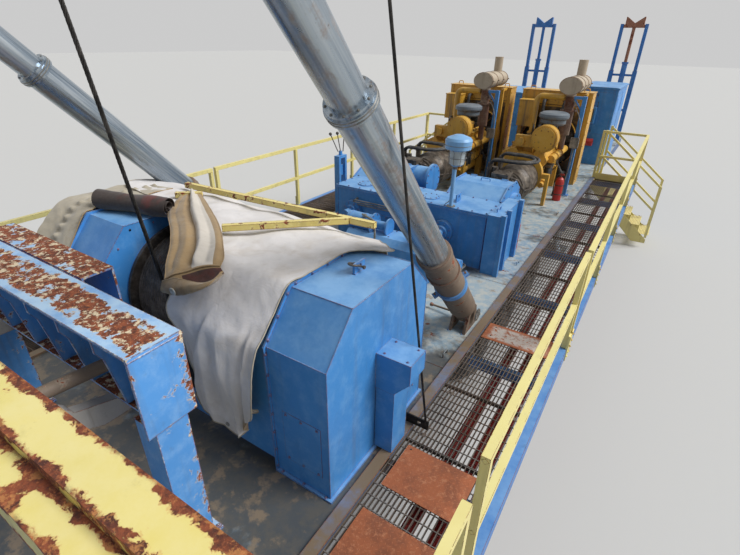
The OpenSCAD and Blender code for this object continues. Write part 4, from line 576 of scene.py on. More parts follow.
class Shape:
    """Faces gathered in the rig's own places."""

    def __init__(self):
        self.points, self.faces, self.marks, self.mark = [], [], [], 0

    def add(self, points, faces):
        start = len(self.points)
        self.points += [Vector(p) for p in points]
        self.faces += [[start + i for i in face] for face in faces]
        self.marks += [self.mark] * len(faces)

    def box(self, x, y, z):
        self.add(product(x, y, z),
                 [(0, 1, 3, 2), (4, 6, 7, 5), (0, 4, 5, 1), (2, 3, 7, 6), (0, 2, 6, 4), (1, 5, 7, 3)])

    def skin(self, rings, ends=True):
        n = len(rings[0])
        faces = [(i * n + j, i * n + (j + 1) % n, (i + 1) * n + (j + 1) % n, (i + 1) * n + j)
                 for i in range(len(rings) - 1) for j in range(n)]
        if ends:
            last = (len(rings) - 1) * n
            faces += [tuple(reversed(range(n))), tuple(range(last, last + n))]
        self.add([p for ring in rings for p in ring], faces)

    def tube(self, path, radius, sides=10, ends=True, side=None):
        """A tube along a path; radius is a number, or gives one from the place's number."""
        path = [Vector(p) for p in path]
        rings = []
        for i, p in enumerate(path):
            ahead = (path[min(i + 1, len(path) - 1)] - path[max(i - 1, 0)]).normalized()
            side = ahead.orthogonal() if side is None else side - ahead * side.dot(ahead)
            side = side.normalized()
            up = ahead.cross(side)
            r = radius(i) if callable(radius) else radius
            turns = [math.tau * (k + 0.5) / sides for k in range(sides)]
            rings.append([p + (side * math.cos(a) + up * math.sin(a)) * r for a in turns])
        self.skin(rings, ends)

    def rod(self, points, bend, r, sides=8, steps=5):
        """A round bar or hose along a route with bent corners."""
        self.tube(bent(points, bend, steps), r, sides)

    def loop(self, a, b, out, r=0.007, bend=0.015):
        """A handle: a bent rod that stands out between two places."""
        a, b, out = Vector(a), Vector(b), Vector(out)
        self.rod([a, a + out, b + out, b], bend, r)

    def turned(self, outline, at, axis, sides=24):
        """A turned piece: outline gives radius and place along the axis."""
        axis = Vector(axis).normalized()
        side = axis.orthogonal().normalized()
        up = axis.cross(side)
        turns = [math.tau * (k + 0.5) / sides for k in range(sides)]
        self.skin([[Vector(at) + axis * s + (side * math.cos(a) + up * math.sin(a)) * r for a in turns]
                   for r, s in outline])

    def bar(self, a, b, w, h=None, up=UP):
        """A flat or square bar between two places, w across and h in the direction nearest up."""
        a, b = Vector(a), Vector(b)
        ahead = (b - a).normalized()
        across = ahead.cross(Vector(up)).normalized() * w / 2
        rise = across.cross(ahead).normalized() * (h or w) / 2
        self.skin([[p - across - rise, p - across + rise, p + across + rise, p + across - rise]
                   for p in (a, b)])

    def bolt(self, at, out, r=0.015):
        """A hexagonal head on its washer, with the screw's end."""
        self.turned([(1.5 * r, -0.001), (1.5 * r, 0.25 * r)], at, out, 12)
        self.turned([(r, 0.2 * r), (r, 0.9 * r), (0.86 * r, 1.05 * r)], at, out, 6)
        self.turned([(0.5 * r, r), (0.45 * r, 1.4 * r)], at, out, 8)

    def bolts(self, a, b, step, out, r=0.015):
        """A row of bolts from one place to another."""
        a, b = Vector(a), Vector(b)
        count = max(1, round((b - a).length / step))
        for i in range(count + 1):
            self.bolt(a.lerp(b, i / count), out, r)

    def ring_of_bolts(self, at, axis, ring, count, r=0.012):
        axis = Vector(axis).normalized()
        side = axis.orthogonal().normalized()
        up = axis.cross(side)
        for k in range(count):
            a = math.tau * (k + 0.5) / count
            self.bolt(Vector(at) + (side * math.cos(a) + up * math.sin(a)) * ring, axis, r)

    def weld(self, a, b, r=0.005):
        """A weld bead with its ripples, half sunk in the corner that it fills."""
        a, b = Vector(a), Vector(b)
        count = max(4, round((b - a).length / 0.012))
        path = [a.lerp(b, i / count) for i in range(count + 1)]
        self.tube(path, lambda i: r * (1 + 0.16 * math.cos(2.1 * i) + 0.1 * math.sin(5.7 * i)), 6)

    def pair(self):
        """The same again on the other side of the rig."""
        count = len(self.points)
        points = [Vector((-p.x, p.y, p.z)) for p in self.points]
        faces = [tuple(reversed([i + count for i in face])) for face in self.faces]
        self.points += points
        self.faces += [list(f) for f in faces]
        self.marks += list(self.marks)
        return self


def piece(name, shape, slot, body="rig", replaces=(), looks=None, smooth=38):
    """A piece of the scene that moves with a body and takes its finish from a slot of the record."""
    mesh = bpy.data.meshes.new(name)
    mesh.from_pydata([p + ORIGIN for p in shape.points], [], shape.faces)
    for look in looks or [slot]:
        mesh.materials.append(finish[look])
    mesh.polygons.foreach_set("material_index", shape.marks)
    mesh.shade_smooth()
    mesh.set_sharp_from_angle(angle=math.radians(smooth))
    obj = bpy.data.objects.new(name, mesh)
    bpy.context.collection.objects.link(obj)
    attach(obj, body)
    if replaces:
        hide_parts(*replaces)
    return obj


GRATE_X = (1.79, 2.55)
GRATE_Z = (-0.042, -0.007)
PANEL_Y = [0.5, 2.36, 3.12, 4.18, 5.02, 5.9, 7.4, 8.9, 10.3, 11.6]
BAR_PITCH = 0.034
BAR_T = 0.005
ROD_PITCH = 0.1
# Half a clip's width and length, and its thickness
CLIP = (0.03, 0.018, 0.003)


def gratings():
    """Bar grating in panels: bearing bars along the rig, twisted cross rods, and a band at each end."""
    shape = Shape()
    width = GRATE_X[1] - GRATE_X[0] - 0.012
    count = round(width / BAR_PITCH)
    across = (GRATE_X[0] + 0.002, GRATE_X[1] - 0.002)
    for low, high in pairwise(PANEL_Y):
        y = (low + 0.003, high - 0.003)
        for i in range(count + 1):
            x = GRATE_X[0] + 0.003 + i * width / count
            shape.box((x, x + BAR_T), y, GRATE_Z)
        rods = round((y[1] - y[0]) / ROD_PITCH)
        for i in range(1, rods):
            at = y[0] + i * (y[1] - y[0]) / rods
            shape.box(across, (at - 0.0035, at + 0.0035), (GRATE_Z[1] - 0.008, GRATE_Z[1] - 0.0005))
        for at in y:
            at = min(at, y[1] - 0.005)
            shape.box(across, (at, at + 0.005), (GRATE_Z[0], GRATE_Z[1] + 0.001))
        # Clips that hold the panel down at its corners
        top = GRATE_Z[1] + CLIP[2]
        for at, x in product((y[0] + 0.09, y[1] - 0.09), (GRATE_X[0] + 0.1, GRATE_X[1] - 0.1)):
            shape.box((x - CLIP[0], x + CLIP[0]), (at - CLIP[1], at + CLIP[1]), (GRATE_Z[1], top))
            shape.bolt((x, at, top), UP, 0.008)
    piece("grating_bars", shape.pair(), "grating_steel", replaces=["walkway_gratings"], smooth=30)


LOOSE_PLATES = [((1.15, 1.66), (1.845, 2.41)), ((1.88, 2.30), (1.85, 2.41)), ((4.01, 4.33), (1.81, 2.51))]
# Half a diamond's length, half its width and its height
DIAMOND = (0.013, 0.0038, 0.0016)
DIAMOND_PITCH = 0.03


def chequered_plates():
    """Loose plates with raised diamonds, set crosswise in turn."""
    shape = Shape()
    for (low, high), x in LOOSE_PLATES:
        z = GRATE_Z[1]
        shape.box(x, (low, high), (z, z + 0.006))
        rows = int((high - low - 0.02) / DIAMOND_PITCH)
        columns = int((x[1] - x[0] - 0.02) / DIAMOND_PITCH)
        for i, j in product(range(columns + 1), range(rows + 1)):
            at = Vector((x[0] + 0.015 + i * DIAMOND_PITCH, low + 0.015 + j * DIAMOND_PITCH, z + 0.0058))
            a = math.radians(45 if (i + j) % 2 else -45)
            along = Vector((math.cos(a), math.sin(a), 0)) * DIAMOND[0]
            across = Vector((-math.sin(a), math.cos(a), 0)) * DIAMOND[1]
            if x[0] < at.x - 0.01 and at.x + 0.01 < x[1] and low < at.y - 0.01 and at.y + 0.01 < high:
                top = at + Vector((0, 0, DIAMOND[2]))
                shape.add([at - along, at - across, at + along, at + across, top - along * 0.5,
                           top + along * 0.5],
                          [(0, 1, 5, 4), (1, 2, 5), (2, 3, 4, 5), (3, 0, 4), (0, 3, 2, 1)])
    piece("chequered_plates", shape, "rust_plate", replaces=["checker_plates"], smooth=20)


# The wire rope: its radius, how many strands it has and how far each goes in one turn
ROPE_R = 0.0145
STRANDS = 6
LAY = 0.2
SHEAVE_R = 0.38
SHEAVE_Y = -0.7
SHEAVE_Z = 18.0
BLOCK_Z = 6.3
CROWN_X = [0.113, -0.007, -0.127, -0.247]
BLOCK_X = [0.053, -0.067, -0.187]
# The fast line's tilt, its foot on the drum and its head on the first sheave
LINE_TILT = math.radians(6.906)
LINE_FOOT = (-0.057, 1.7833, 0.6574)
LINE_HEAD = (0.113, -0.3228, 18.0457)
DEAD_END = (-1.15, -1.08, 1.45)


def strands(shape, path, step, sides):
    """A wire rope's outer strands, wound round its core."""
    path = [Vector(p) for p in path]
    length = [0.0]
    for a, b in pairwise(path):
        length.append(length[-1] + (b - a).length)
    total = length[-1]
    cuts = max(2, math.ceil(total / step))
    places, j = [], 0
    for i in range(cuts + 1):
        s = total * i / cuts
        while j < len(path) - 2 and length[j + 1] < s:
            j += 1
        share = (s - length[j]) / max(1e-9, length[j + 1] - length[j])
        places.append((path[j].lerp(path[j + 1], min(1, share)), (path[j + 1] - path[j]).normalized(), s))
    side = places[0][1].orthogonal().normalized()
    frames = []
    for p, ahead, s in places:
        side = (side - ahead * side.dot(ahead)).normalized()
        frames.append((p, side, ahead.cross(side), s))
    strand = 0.36 * ROPE_R
    ring = ROPE_R - strand
    for k in range(STRANDS):
        turns = [math.tau * (s / LAY + k / STRANDS) for _, _, _, s in frames]
        line = [p + (u * math.cos(a) + v * math.sin(a)) * ring for (p, u, v, _), a in zip(frames, turns)]
        shape.tube(line, strand, sides)
    shape.tube([f[0] for f in frames[::2]] + [frames[-1][0]], ring * 0.8, 5)


def arc(x, z, start, end, count=16):
    """Places round a sheave, seen along x."""
    turns = [start + (end - start) * i / count for i in range(count + 1)]
    return [(x, SHEAVE_Y + SHEAVE_R * math.cos(a), z + SHEAVE_R * math.sin(a)) for a in turns]


def wire_ropes():
    """The fast line from the drum over the crown, the falls of the travelling block and the dead line."""
    near, far = SHEAVE_Y + SHEAVE_R, SHEAVE_Y - SHEAVE_R
    fast = Shape()
    low, high = Vector(LINE_FOOT), Vector(LINE_HEAD)
    split = low.lerp(high, 0.3)
    strands(fast, [low, split], 0.02, 6)
    shape = Shape()
    strands(shape, [split, high] + arc(CROWN_X[0], SHEAVE_Z, LINE_TILT, math.pi)[1:], 0.06, 5)
    for i in range(3):
        fall = [(CROWN_X[i], far, SHEAVE_Z)] + arc(BLOCK_X[i], BLOCK_Z, math.pi, math.tau)
        rise = [(BLOCK_X[i], near, BLOCK_Z)] + arc(CROWN_X[i + 1], SHEAVE_Z, 0, math.pi)
        strands(shape, fall, 0.07, 5)
        strands(shape, rise, 0.07, 5)
    strands(shape, [(CROWN_X[3], far, SHEAVE_Z), DEAD_END], 0.07, 5)
    piece("fast_line", fast, "rope_wire", replaces=["wire_ropes"], smooth=80)
    piece("block_lines", shape, "rope_wire", replaces=["wire_ropes"], smooth=80)


HOUSING_X = (1.15, 1.63)
HOUSING_Y = (1.58, 2.88)
HOUSING_H = 1.4
SEAM = 0.022
DRUM = Vector((0, 2.3, 0.72))


def housing_line(grow=0.0):
    """The chain housing's outline, from the foot of its well side over the top to its far foot."""
    y = (HOUSING_Y[0] - grow, HOUSING_Y[1] + grow)
    low = HOUSING_H - 0.3
    return [(y[0], 0.0), (y[0], low), (y[0] + 0.27, HOUSING_H + grow), (y[1] - 0.28, HOUSING_H + grow),
            (y[1], low + 0.02), (y[1], 0.0)]


def housings():
    """Bolts, weld beads, hinges and latches of the two chain housings, and of the side box."""
    shape = Shape()
    line = housing_line()
    for a, b in pairwise(line):
        shape.weld((HOUSING_X[1], *a), (HOUSING_X[1], *b), 0.004)
    for y, z in line[1:-1]:
        shape.weld((HOUSING_X[0] + 0.02, y, z), (HOUSING_X[1], y, z), 0.004)
    # Bolts through the inner cover's flange
    rim = housing_line(SEAM / 2)
    for (ya, za), (yb, zb) in pairwise(rim):
        a, b = Vector((HOUSING_X[0] + 0.012, ya, za)), Vector((HOUSING_X[0] + 0.012, yb, zb))
        cut = (b - a).normalized() * 0.05
        shape.bolts(a + cut, b - cut, 0.16, RIGHT, 0.009)
    # Base flange bolts
    for y in (HOUSING_Y[0] - 0.012, HOUSING_Y[1] + 0.012):
        shape.bolts((HOUSING_X[0] + 0.06, y, 0.014), (HOUSING_X[1] - 0.03, y, 0.014), 0.2, UP, 0.008)
    # The door on the outer face: its raised edge, screws and hinges
    x = HOUSING_X[1] + 0.005
    door_y, door_z = (HOUSING_Y[0] + 0.69, HOUSING_Y[1] - 0.12), (0.15, 0.56)
    for y in (door_y[0] + 0.02, door_y[1] - 0.02):
        shape.bolts((x, y, door_z[0] + 0.03), (x, y, door_z[1] - 0.03), 0.13, RIGHT, 0.008)
    for z in (door_z[0] + 0.08, door_z[1] - 0.08):
        y = door_y[0] + 0.002
        shape.tube([(x + 0.008, y, z - 0.04), (x + 0.008, y, z + 0.04)], 0.009, 10)
    shape.tube([(x, 2.5, 0.33), (x + 0.035, 2.5, 0.335), (x + 0.035, 2.5, 0.43), (x, 2.5, 0.435)], 0.006, 8)
    # A patch plate on the well side
    shape.box((HOUSING_X[0] + 0.1, HOUSING_X[1] - 0.06), (HOUSING_Y[0] - 0.004, HOUSING_Y[0]), (0.18, 0.62))
    y = HOUSING_Y[0] - 0.004
    for z in (0.2, 0.6):
        shape.bolts((HOUSING_X[0] + 0.13, y, z), (HOUSING_X[1] - 0.09, y, z), 0.13, WELL, 0.007)
    shape.pair()
    # Lifting eye on the right-hand housing: welds at its foot, and further down a shackle through it
    eye = Vector(((HOUSING_X[0] + HOUSING_X[1]) / 2, 2.275, HOUSING_H + 0.04))
    for dx in (-0.01, 0.01):
        shape.weld((eye.x + dx, 2.21, HOUSING_H + 0.002), (eye.x + dx, 2.34, HOUSING_H + 0.002))
    # Side box: beads where it meets the housing and its post, and its lid's screws
    x = (HOUSING_X[1] + 0.001, HOUSING_X[1] + 0.27)
    for y in (2.13, 2.35):
        shape.weld((x[0], y, 0.6), (x[0], y, 0.9), 0.004)
        shape.weld((x[1], y, 0.74), (x[1], y, 0.9), 0.003)
    shape.weld((x[0], 2.13, 0.9), (x[1], 2.13, 0.9), 0.003)
    shape.weld((x[1], 2.13, 0.9), (x[1], 2.35, 0.9), 0.003)
    for y in (2.16, 2.32):
        shape.bolts((x[0] + 0.05, y, 0.9), (x[1] - 0.04, y, 0.9), 0.16, UP, 0.007)
    piece("housing_fittings", shape, "machine_blue")
    shackle = Shape()
    bow = [(eye.x - 0.026, eye.y, eye.z), (eye.x - 0.03, eye.y - 0.03, eye.z + 0.02)]
    for i in range(9):
        a = math.pi * i / 8
        bow.append((eye.x - 0.034 * math.cos(a), eye.y - 0.06 - 0.04 * math.sin(a),
                    eye.z + 0.035 + 0.012 * math.sin(a)))
    bow += [(eye.x + 0.03, eye.y - 0.03, eye.z + 0.02), (eye.x + 0.026, eye.y, eye.z)]
    shackle.tube(bow, 0.008, 8)
    shackle.turned([(0.014, -0.045), (0.014, -0.03), (0.008, -0.03), (0.008, 0.036), (0.013, 0.036),
                    (0.013, 0.048)], eye, RIGHT, 12)
    piece("eye_shackle", shackle, "dark_steel")


def drawworks():
    """Small pieces of the drum's stands and skid, and the drum's own rim screws."""
    shape = Shape()
    for y in (1.68, 2.93):
        shape.bolts((0.2, y, 0.09), (1.0, y, 0.09), 0.4, UP, 0.012)
    for y in (1.98, 2.62):
        shape.weld((1.05, y, 0.092), (1.14, y, 0.092), 0.006)
    # Rim of the guard's round opening, and the screws of its plate
    turns = [math.radians(-70) + math.radians(320) * i / 60 for i in range(61)]
    ring = [DRUM + Vector((0.656, 0.553 * math.cos(a), 0.553 * math.sin(a))) for a in turns]
    shape.tube(ring, 0.006, 6)
    rim = [(0.66, y, max(z, 0.1)) for y, z in housing_line(-0.004)]
    for a, b in pairwise(rim):
        shape.weld(a, b, 0.004)
    plate = [(0.66, y, max(z, 0.16)) for y, z in housing_line(-0.05)]
    for a, b in pairwise(plate):
        shape.bolts(a, b, 0.2, LEFT, 0.007)
    piece("guard_fittings", shape.pair(), "machine_blue")
    turning = Shape()
    for side in (-1, 1):
        at, out = DRUM + Vector((side, 0, 0)), (side, 0, 0)
        turning.ring_of_bolts(at, out, 0.53, 16, 0.011)
        turning.turned([(0.085, -0.001), (0.085, 0.02), (0.075, 0.03)], at, out, 20)
    piece("drum_fittings", turning, "dark_steel", body="drum")


def spline(points, t):
    """A smooth curve through points, at t from 0 to 1."""
    n = len(points) - 1
    at = min(max(t, 0.0) * n, n - 1e-6)
    i, f = int(at), at - int(at)
    a, b, c, d = (Vector(points[max(0, min(n, i + k))]) for k in (-1, 0, 1, 2))
    return 0.5 * (2 * b + (c - a) * f + (2 * a - 5 * b + 4 * c - d) * f * f
                  + (3 * b - a - 3 * c + d) * f ** 3)


def smooth(value, low, high):
    """0 at low, 1 at high, and a soft step between them."""
    t = min(1.0, max(0.0, (value - low) / (high - low)))
    return t * t * (3 - 2 * t)


def sharp(turn):
    """A wave with creases at its crests, as stiff cloth folds."""
    return math.asin(0.97 * math.sin(turn)) / 1.33


def rough(p, scale, seed=0.0):
    """Uneven ground between -1 and 1, the same at each run."""
    return noise.noise(Vector(p) * scale + Vector((seed, 2.3 * seed, 0)))


def clear(p, gap=0.007):
    """Keeps cloth outside the housings and the brake guards."""
    x = abs(p.x)
    if not 0.65 < x < 1.66:
        return p
    line = housing_line(gap + (SEAM if 1.12 < x < 1.19 else 0))
    best = None
    for (ya, za), (yb, zb) in pairwise(line):
        out = Vector((0, za - zb, yb - ya)).normalized()
        depth = (p - Vector((p.x, ya, za))).dot(out)
        if best is None or depth > best[0]:
            best = (depth, out)
    return p - best[1] * best[0] if best[0] < 0 else p


CLOTH_T = 0.003


def cloth(rows, across, along, wave, keep_clear=True):
    """A sheet through rows of places, each from its left edge to its right edge, with two skins: wave gives
    how far it stands out at u across, v along and its own place."""
    grid = []
    for j in range(along + 1):
        line = [spline([row[k] for row in rows], j / along) for k in range(len(rows[0]))]
        grid.append([spline(line, i / across) for i in range(across + 1)])

    def normals(grid):
        result = []
        for j in range(along + 1):
            result.append([])
            for i in range(across + 1):
                du = grid[j][min(i + 1, across)] - grid[j][max(i - 1, 0)]
                dv = grid[min(j + 1, along)][i] - grid[max(j - 1, 0)][i]
                result[-1].append(du.cross(dv).normalized())
        return result

    facing = normals(grid)
    for j in range(along + 1):
        for i in range(across + 1):
            p = grid[j][i] - facing[j][i] * wave(i / across, j / along, grid[j][i])
            grid[j][i] = clear(p) if keep_clear else p
    facing = normals(grid)
    shape = Shape()
    n = across + 1
    outer = [p for row in grid for p in row]
    inner = [p + facing[j][i] * CLOTH_T for j, row in enumerate(grid) for i, p in enumerate(row)]
    quads = [(j * n + i, j * n + i + 1, (j + 1) * n + i + 1, (j + 1) * n + i)
             for j in range(along) for i in range(across)]
    start = len(outer)
    shape.add(outer + inner, [tuple(reversed(q)) for q in quads])
    shape.faces += [[start + i for i in q] for q in quads]
    shape.marks += [1] * len(quads)
    rim = ([j * n for j in range(along + 1)] + [along * n + i for i in range(1, n)]
           + [j * n + across for j in range(along - 1, -1, -1)] + [i for i in range(across - 1, 0, -1)])
    for a, b in pairwise(rim + rim[:1]):
        shape.faces.append([b, a, start + a, start + b])
        shape.marks.append(0)
    return shape, grid


def hem(shape, line, radius=0.0045):
    """A stitched edge: a cord of doubled cloth along a line of places."""
    shape.tube(line, lambda i: radius * (1 + 0.1 * math.sin(1.9 * i)), 6)


def eyelet(shape, at, out, r=0.016):
    """A metal ring set in cloth."""
    shape.turned([(r * 0.45, -0.005), (r, -0.004), (1.12 * r, 0.0), (r, 0.003), (r * 0.62, 0.004),
                  (r * 0.45, 0.001)], at, out, 20)


def main_sheet():
    """The big sheet: its fall at the far side, its top between the housings, and its corner that hangs at the
    well side in front of the right-hand brake guard."""
    def row(left, right, dip=0.0):
        a, b = Vector(left), Vector(right)
        places = [a.lerp(b, k / 5) for k in range(6)]
        for k in range(1, 5):
            places[k].z -= dip * math.sin(math.pi * k / 5)
        return places

    rows = [row((-1.58, 3.262, 0.76), (1.02, 3.26, 0.71)), row((-1.6, 3.265, 0.95), (1.04, 3.262, 0.92)),
            row((-1.62, 3.2, 1.12), (1.05, 3.225, 1.12)), row((-1.63, 3.04, 1.3), (1.1, 3.02, 1.29)),
            row((-1.64, 2.84, 1.41), (1.3, 2.82, 1.36)), row((-1.63, 2.58, 1.45), (1.44, 2.64, 1.425), 0.02),
            row((-1.44, 2.42, 1.455), (1.2, 2.46, 1.43), 0.03),
            row((-0.62, 2.34, 1.446), (1.17, 2.2, 1.43), 0.035),
            row((-0.08, 2.05, 1.432), (1.165, 1.98, 1.432), 0.025),
            row((0.24, 1.86, 1.425), (1.16, 1.82, 1.43), 0.005), row((0.28, 1.67, 1.3), (1.155, 1.69, 1.29)),
            row((0.29, 1.51, 1.12), (1.16, 1.54, 1.13)), row((0.43, 1.49, 0.94), (1.16, 1.5, 0.95)),
            row((0.5, 1.485, 0.72), (1.15, 1.49, 0.74)),
            [Vector((x, 1.485, z)) for x, z in ((0.59, 0.56), (0.68, 0.54), (0.8, 0.52), (0.93, 0.51),
                                                (1.04, 0.54), (1.13, 0.6))],
            [Vector((x, 1.48, z)) for x, z in ((0.62, 0.48), (0.71, 0.435), (0.84, 0.4), (0.965, 0.365),
                                               (1.04, 0.43), (1.09, 0.53))]]

    def wave(u, v, p):
        hang = smooth(v, 0.66, 0.84)
        back = smooth(v, 0.3, 0.1)
        pleats = 0.016 * sharp(14 * u + 2.2 * math.sin(5 * v) - 0.4) + 0.007 * sharp(31 * u + 11 * v)
        # Two tucks: the left part lies back, and a wedge beside the right fold narrows upwards
        below = smooth(p.z, 1.2, 1.1)
        fold = 0.6 + 0.16 * (p.z - 0.62)
        slant = 0.8 + 0.26 * (1.17 - p.z)
        if p.x < 1.04:
            wedge = max(0, min(1, (p.x - slant) / (1.04 - slant)))
        else:
            wedge = max(0, 1 - (p.x - 1.04) / 0.02)
        wedge *= smooth(u, 1, 0.86)
        tuck = below * (0.06 * smooth(p.x, fold - 0.03, fold + 0.005) - 0.055 * wedge + 0.012)
        folds = 0.022 * sharp(19 * u + 2.1 * math.sin(3 * u))
        pull = 0.006 * math.sin(9 * (p.x + p.y)) + 0.006 * sharp(17 * (p.x - 0.7 * p.y) + 2)
        return (hang * (pleats + tuck) + back * folds + (1 - hang) * pull * (1 - 0.7 * smooth(p.x, 0.6, 0.9))
                + 0.006 * rough(p, 6) + 0.003 * rough(p, 17, 3) + 0.05 * hang * max(0, rough(p, 2.2, 5)))

    shape, grid = cloth(rows, 84, 150, wave)
    obj = piece("canvas_sheet", shape, "canvas", replaces=["canvas_cover"], looks=["canvas", "canvas_under"],
                smooth=80)
    edges = Shape()
    for line in ([row[0] for row in grid], [row[-1] for row in grid], grid[0], grid[-1]):
        hem(edges, line)
    trim = piece("canvas_hem", edges, "canvas", looks=["canvas_grey"])
    rings = Shape()
    for i in (10, 30, 50, 70):
        eyelet(rings, grid[4][i] + Vector((0, 0.004, 0)), (0, 1, 0.1))
    eyelet(rings, grid[-5][40] + Vector((0, -0.004, 0)), WELL)
    eyes = piece("canvas_eyelets", rings, "grey_metal")


def flap():
    """The sheet's turned-back corner: tan underside with a white strip, and a turned-up cuff with its eyelet
    that stands open at its right end."""
    left = [(-0.78, 2.52, 1.458), (-0.5, 2.18, 1.462), (-0.13, 1.93, 1.466), (0.07, 1.775, 1.44),
            (0.21, 1.63, 1.395)]
    right = [(-0.72, 2.68, 1.47), (-0.12, 2.33, 1.486), (0.24, 2.1, 1.492), (0.47, 1.92, 1.486),
             (0.6, 1.81, 1.474)]
    rows = []
    for k, (a, b) in enumerate(zip(left, right)):
        a, b = Vector(a), Vector(b)
        lift = 0.03 + 0.01 * math.sin(1.7 * k)
        rise = Vector((-0.1, -0.35, 0.93)) if k < 4 else Vector((-0.15, -0.8, 0.5))
        rows.append([a, a.lerp(b, 0.2) + rise * lift * 0.8, a.lerp(b, 0.42) + rise * lift * 0.4,
                     a.lerp(b, 0.6) + rise * lift * 1.2, a.lerp(b, 0.82) + rise * lift, b])
    # The hem, the layer under the cuff, its bottom fold and its lip, which stands open at the right
    for line in ([(0.34, 1.515, 1.352), (0.405, 1.55, 1.392), (0.471, 1.6, 1.413), (0.528, 1.645, 1.436),
                  (0.596, 1.69, 1.452), (0.656, 1.73, 1.452)],
                 [(0.335, 1.51, 1.3), (0.45, 1.52, 1.33), (0.55, 1.57, 1.35), (0.63, 1.62, 1.37),
                  (0.69, 1.66, 1.4), (0.72, 1.7, 1.43)],
                 [(0.33, 1.495, 1.262), (0.473, 1.48, 1.296), (0.62, 1.472, 1.355), (0.745, 1.475, 1.42),
                  (0.82, 1.52, 1.475), (0.79, 1.61, 1.495)],
                 [(0.33, 1.475, 1.29), (0.475, 1.462, 1.345), (0.63, 1.47, 1.41), (0.765, 1.485, 1.46),
                  (0.83, 1.535, 1.492), (0.8, 1.62, 1.505)],
                 [(0.345, 1.492, 1.352), (0.461, 1.51, 1.4), (0.6, 1.51, 1.425), (0.735, 1.515, 1.445),
                  (0.805, 1.55, 1.478), (0.8, 1.63, 1.5)]):
        rows.append([Vector(p) for p in line])

    across, along = 56, 110

    def wave(u, v, p):
        body = 1 - smooth(v, 0.46, 0.54)
        return (0.014 * sharp(21 * u + 1.6 * math.sin(3 * v)) * body * smooth(u, 0, 0.15) * smooth(u, 1, 0.85)
                + 0.007 * rough(p, 5, 9) + 0.003 * rough(p, 16, 2))

    shape, grid = cloth(rows, across, along, wave, keep_clear=False)
    # The white side shows in a strip beside the right edge; the cuff's hollow gets the dark canvas as painted
    # shade
    for j in range(along):
        for i in range(across):
            u, v = (i + 0.5) / across, (j + 0.5) / along
            if v < 0.54 and 0.5 < u < 0.86:
                shape.marks[j * across + i] = 2
            elif 5.15 / 9 < v < 6.9 / 9 and u > 0.3:
                shape.marks[j * across + i] = 3
    obj = piece("canvas_flap", shape, "canvas", smooth=80,
                looks=["canvas_under", "canvas_under", "canvas_strip", "canvas_dark"])
    edges = Shape()
    hem(edges, grid[-1], 0.005)
    hem(edges, [p + Vector((0, -0.003, 0.005)) for p in grid[round(along * 5 / 9)]], 0.006)
    hem(edges, [row[0] for row in grid[:-50]], 0.004)
    hem(edges, [row[-1] for row in grid[:-50]], 0.004)
    trim = piece("flap_hem", edges, "canvas", looks=["canvas_under"])
    ring = Shape()
    j, i = round(along * 7.75 / 9), 13
    at = grid[j][i]
    out = (grid[j][i + 1] - grid[j][i - 1]).cross(grid[j + 1][i] - grid[j - 1][i]).normalized()
    out = out if out.y < 0 else -out
    eyelet(ring, at + out * 0.006, out, 0.026)
    eye = piece("flap_eyelet", ring, "grey_metal", looks=["dial"])


def left_sheet():
    """The part of the cover on the left-hand housing, with its puckered seam."""
    rows = []
    for left, right in (((-1.62, 2.62, 1.43), (-1.1, 2.66, 1.446)),
                        ((-1.65, 2.4, 1.432), (-1.12, 2.4, 1.446)),
                        ((-1.655, 2.12, 1.43), (-1.14, 2.16, 1.44)),
                        ((-1.66, 1.88, 1.428), (-1.17, 1.9, 1.436)),
                        ((-1.655, 1.7, 1.29), (-1.16, 1.72, 1.3)),
                        ((-1.62, 1.56, 1.14), (-1.12, 1.56, 1.13)),
                        ((-1.5, 1.52, 1.05), (-1.06, 1.51, 1.02))):
        a, b = Vector(left), Vector(right)
        rows.append([a.lerp(b, k / 4) for k in range(5)])

    def wave(u, v, p):
        seam, near = (math.exp(-((u - 0.52) / wide) ** 2) for wide in (0.05, 0.14))
        pucker = 0.012 * seam * (0.6 + math.sin(95 * v)) + 0.008 * near * math.sin(95 * v)
        return (pucker + 0.02 * math.sin(9 * u + 2 * v) * smooth(v, 0.3, 0.9) + 0.014 * rough(p, 5, 4)
                + 0.006 * rough(p, 15, 7))

    shape, grid = cloth(rows, 56, 90, wave)
    obj = piece("left_canvas", shape, "canvas", looks=["canvas_grey", "canvas"], smooth=80)
    edges = Shape()
    hem(edges, [row[-1] for row in grid])
    hem(edges, grid[-1], 0.006)
    trim = piece("left_canvas_hem", edges, "canvas", looks=["canvas_under"])


def roll():
    """A dark sheet rolled up from its front edge, lying on the left-hand guard; its dark brown is partly the
    cloth's own colour and partly painted shade of the gap under the big sheet's edge.
    """
    a, b = Vector((-1.2, 1.99, 1.5)), Vector((-0.5, 2.2, 1.5))
    along = (b - a).normalized()
    back = Vector((-along.y, along.x, 0))
    rows = []
    tail, turns = 16, 40
    count = tail + turns
    for i in range(count + 1):
        if i <= tail:
            # The tail runs from the far edge forward to the foot of the roll
            share = i / tail
            at = back * (0.46 * (1 - share)) + Vector((0, 0, -0.085 + 0.012 * math.sin(5 * share)))
        else:
            turn = (i - tail) / turns
            angle = -math.pi / 2 - turn * math.tau * 2.2
            r = 0.088 * (1 - 0.8 * turn)
            at = back * (r * math.cos(angle)) + Vector((0, 0, r * math.sin(angle) + 0.003))
        rows.append([a.lerp(b, k / 4) + at * (1 + 0.1 * math.sin(2.2 * k + 1)) for k in range(5)])

    def wave(u, v, p):
        return 0.004 * rough(p, 9, 6) + (0.006 * rough(p, 5, 1) if v < tail / count else 0)

    shape, grid = cloth(rows, 30, 150, wave, keep_clear=False)
    obj = piece("rolled_canvas", shape, "canvas", looks=["canvas_dark", "canvas_dark"], smooth=80)


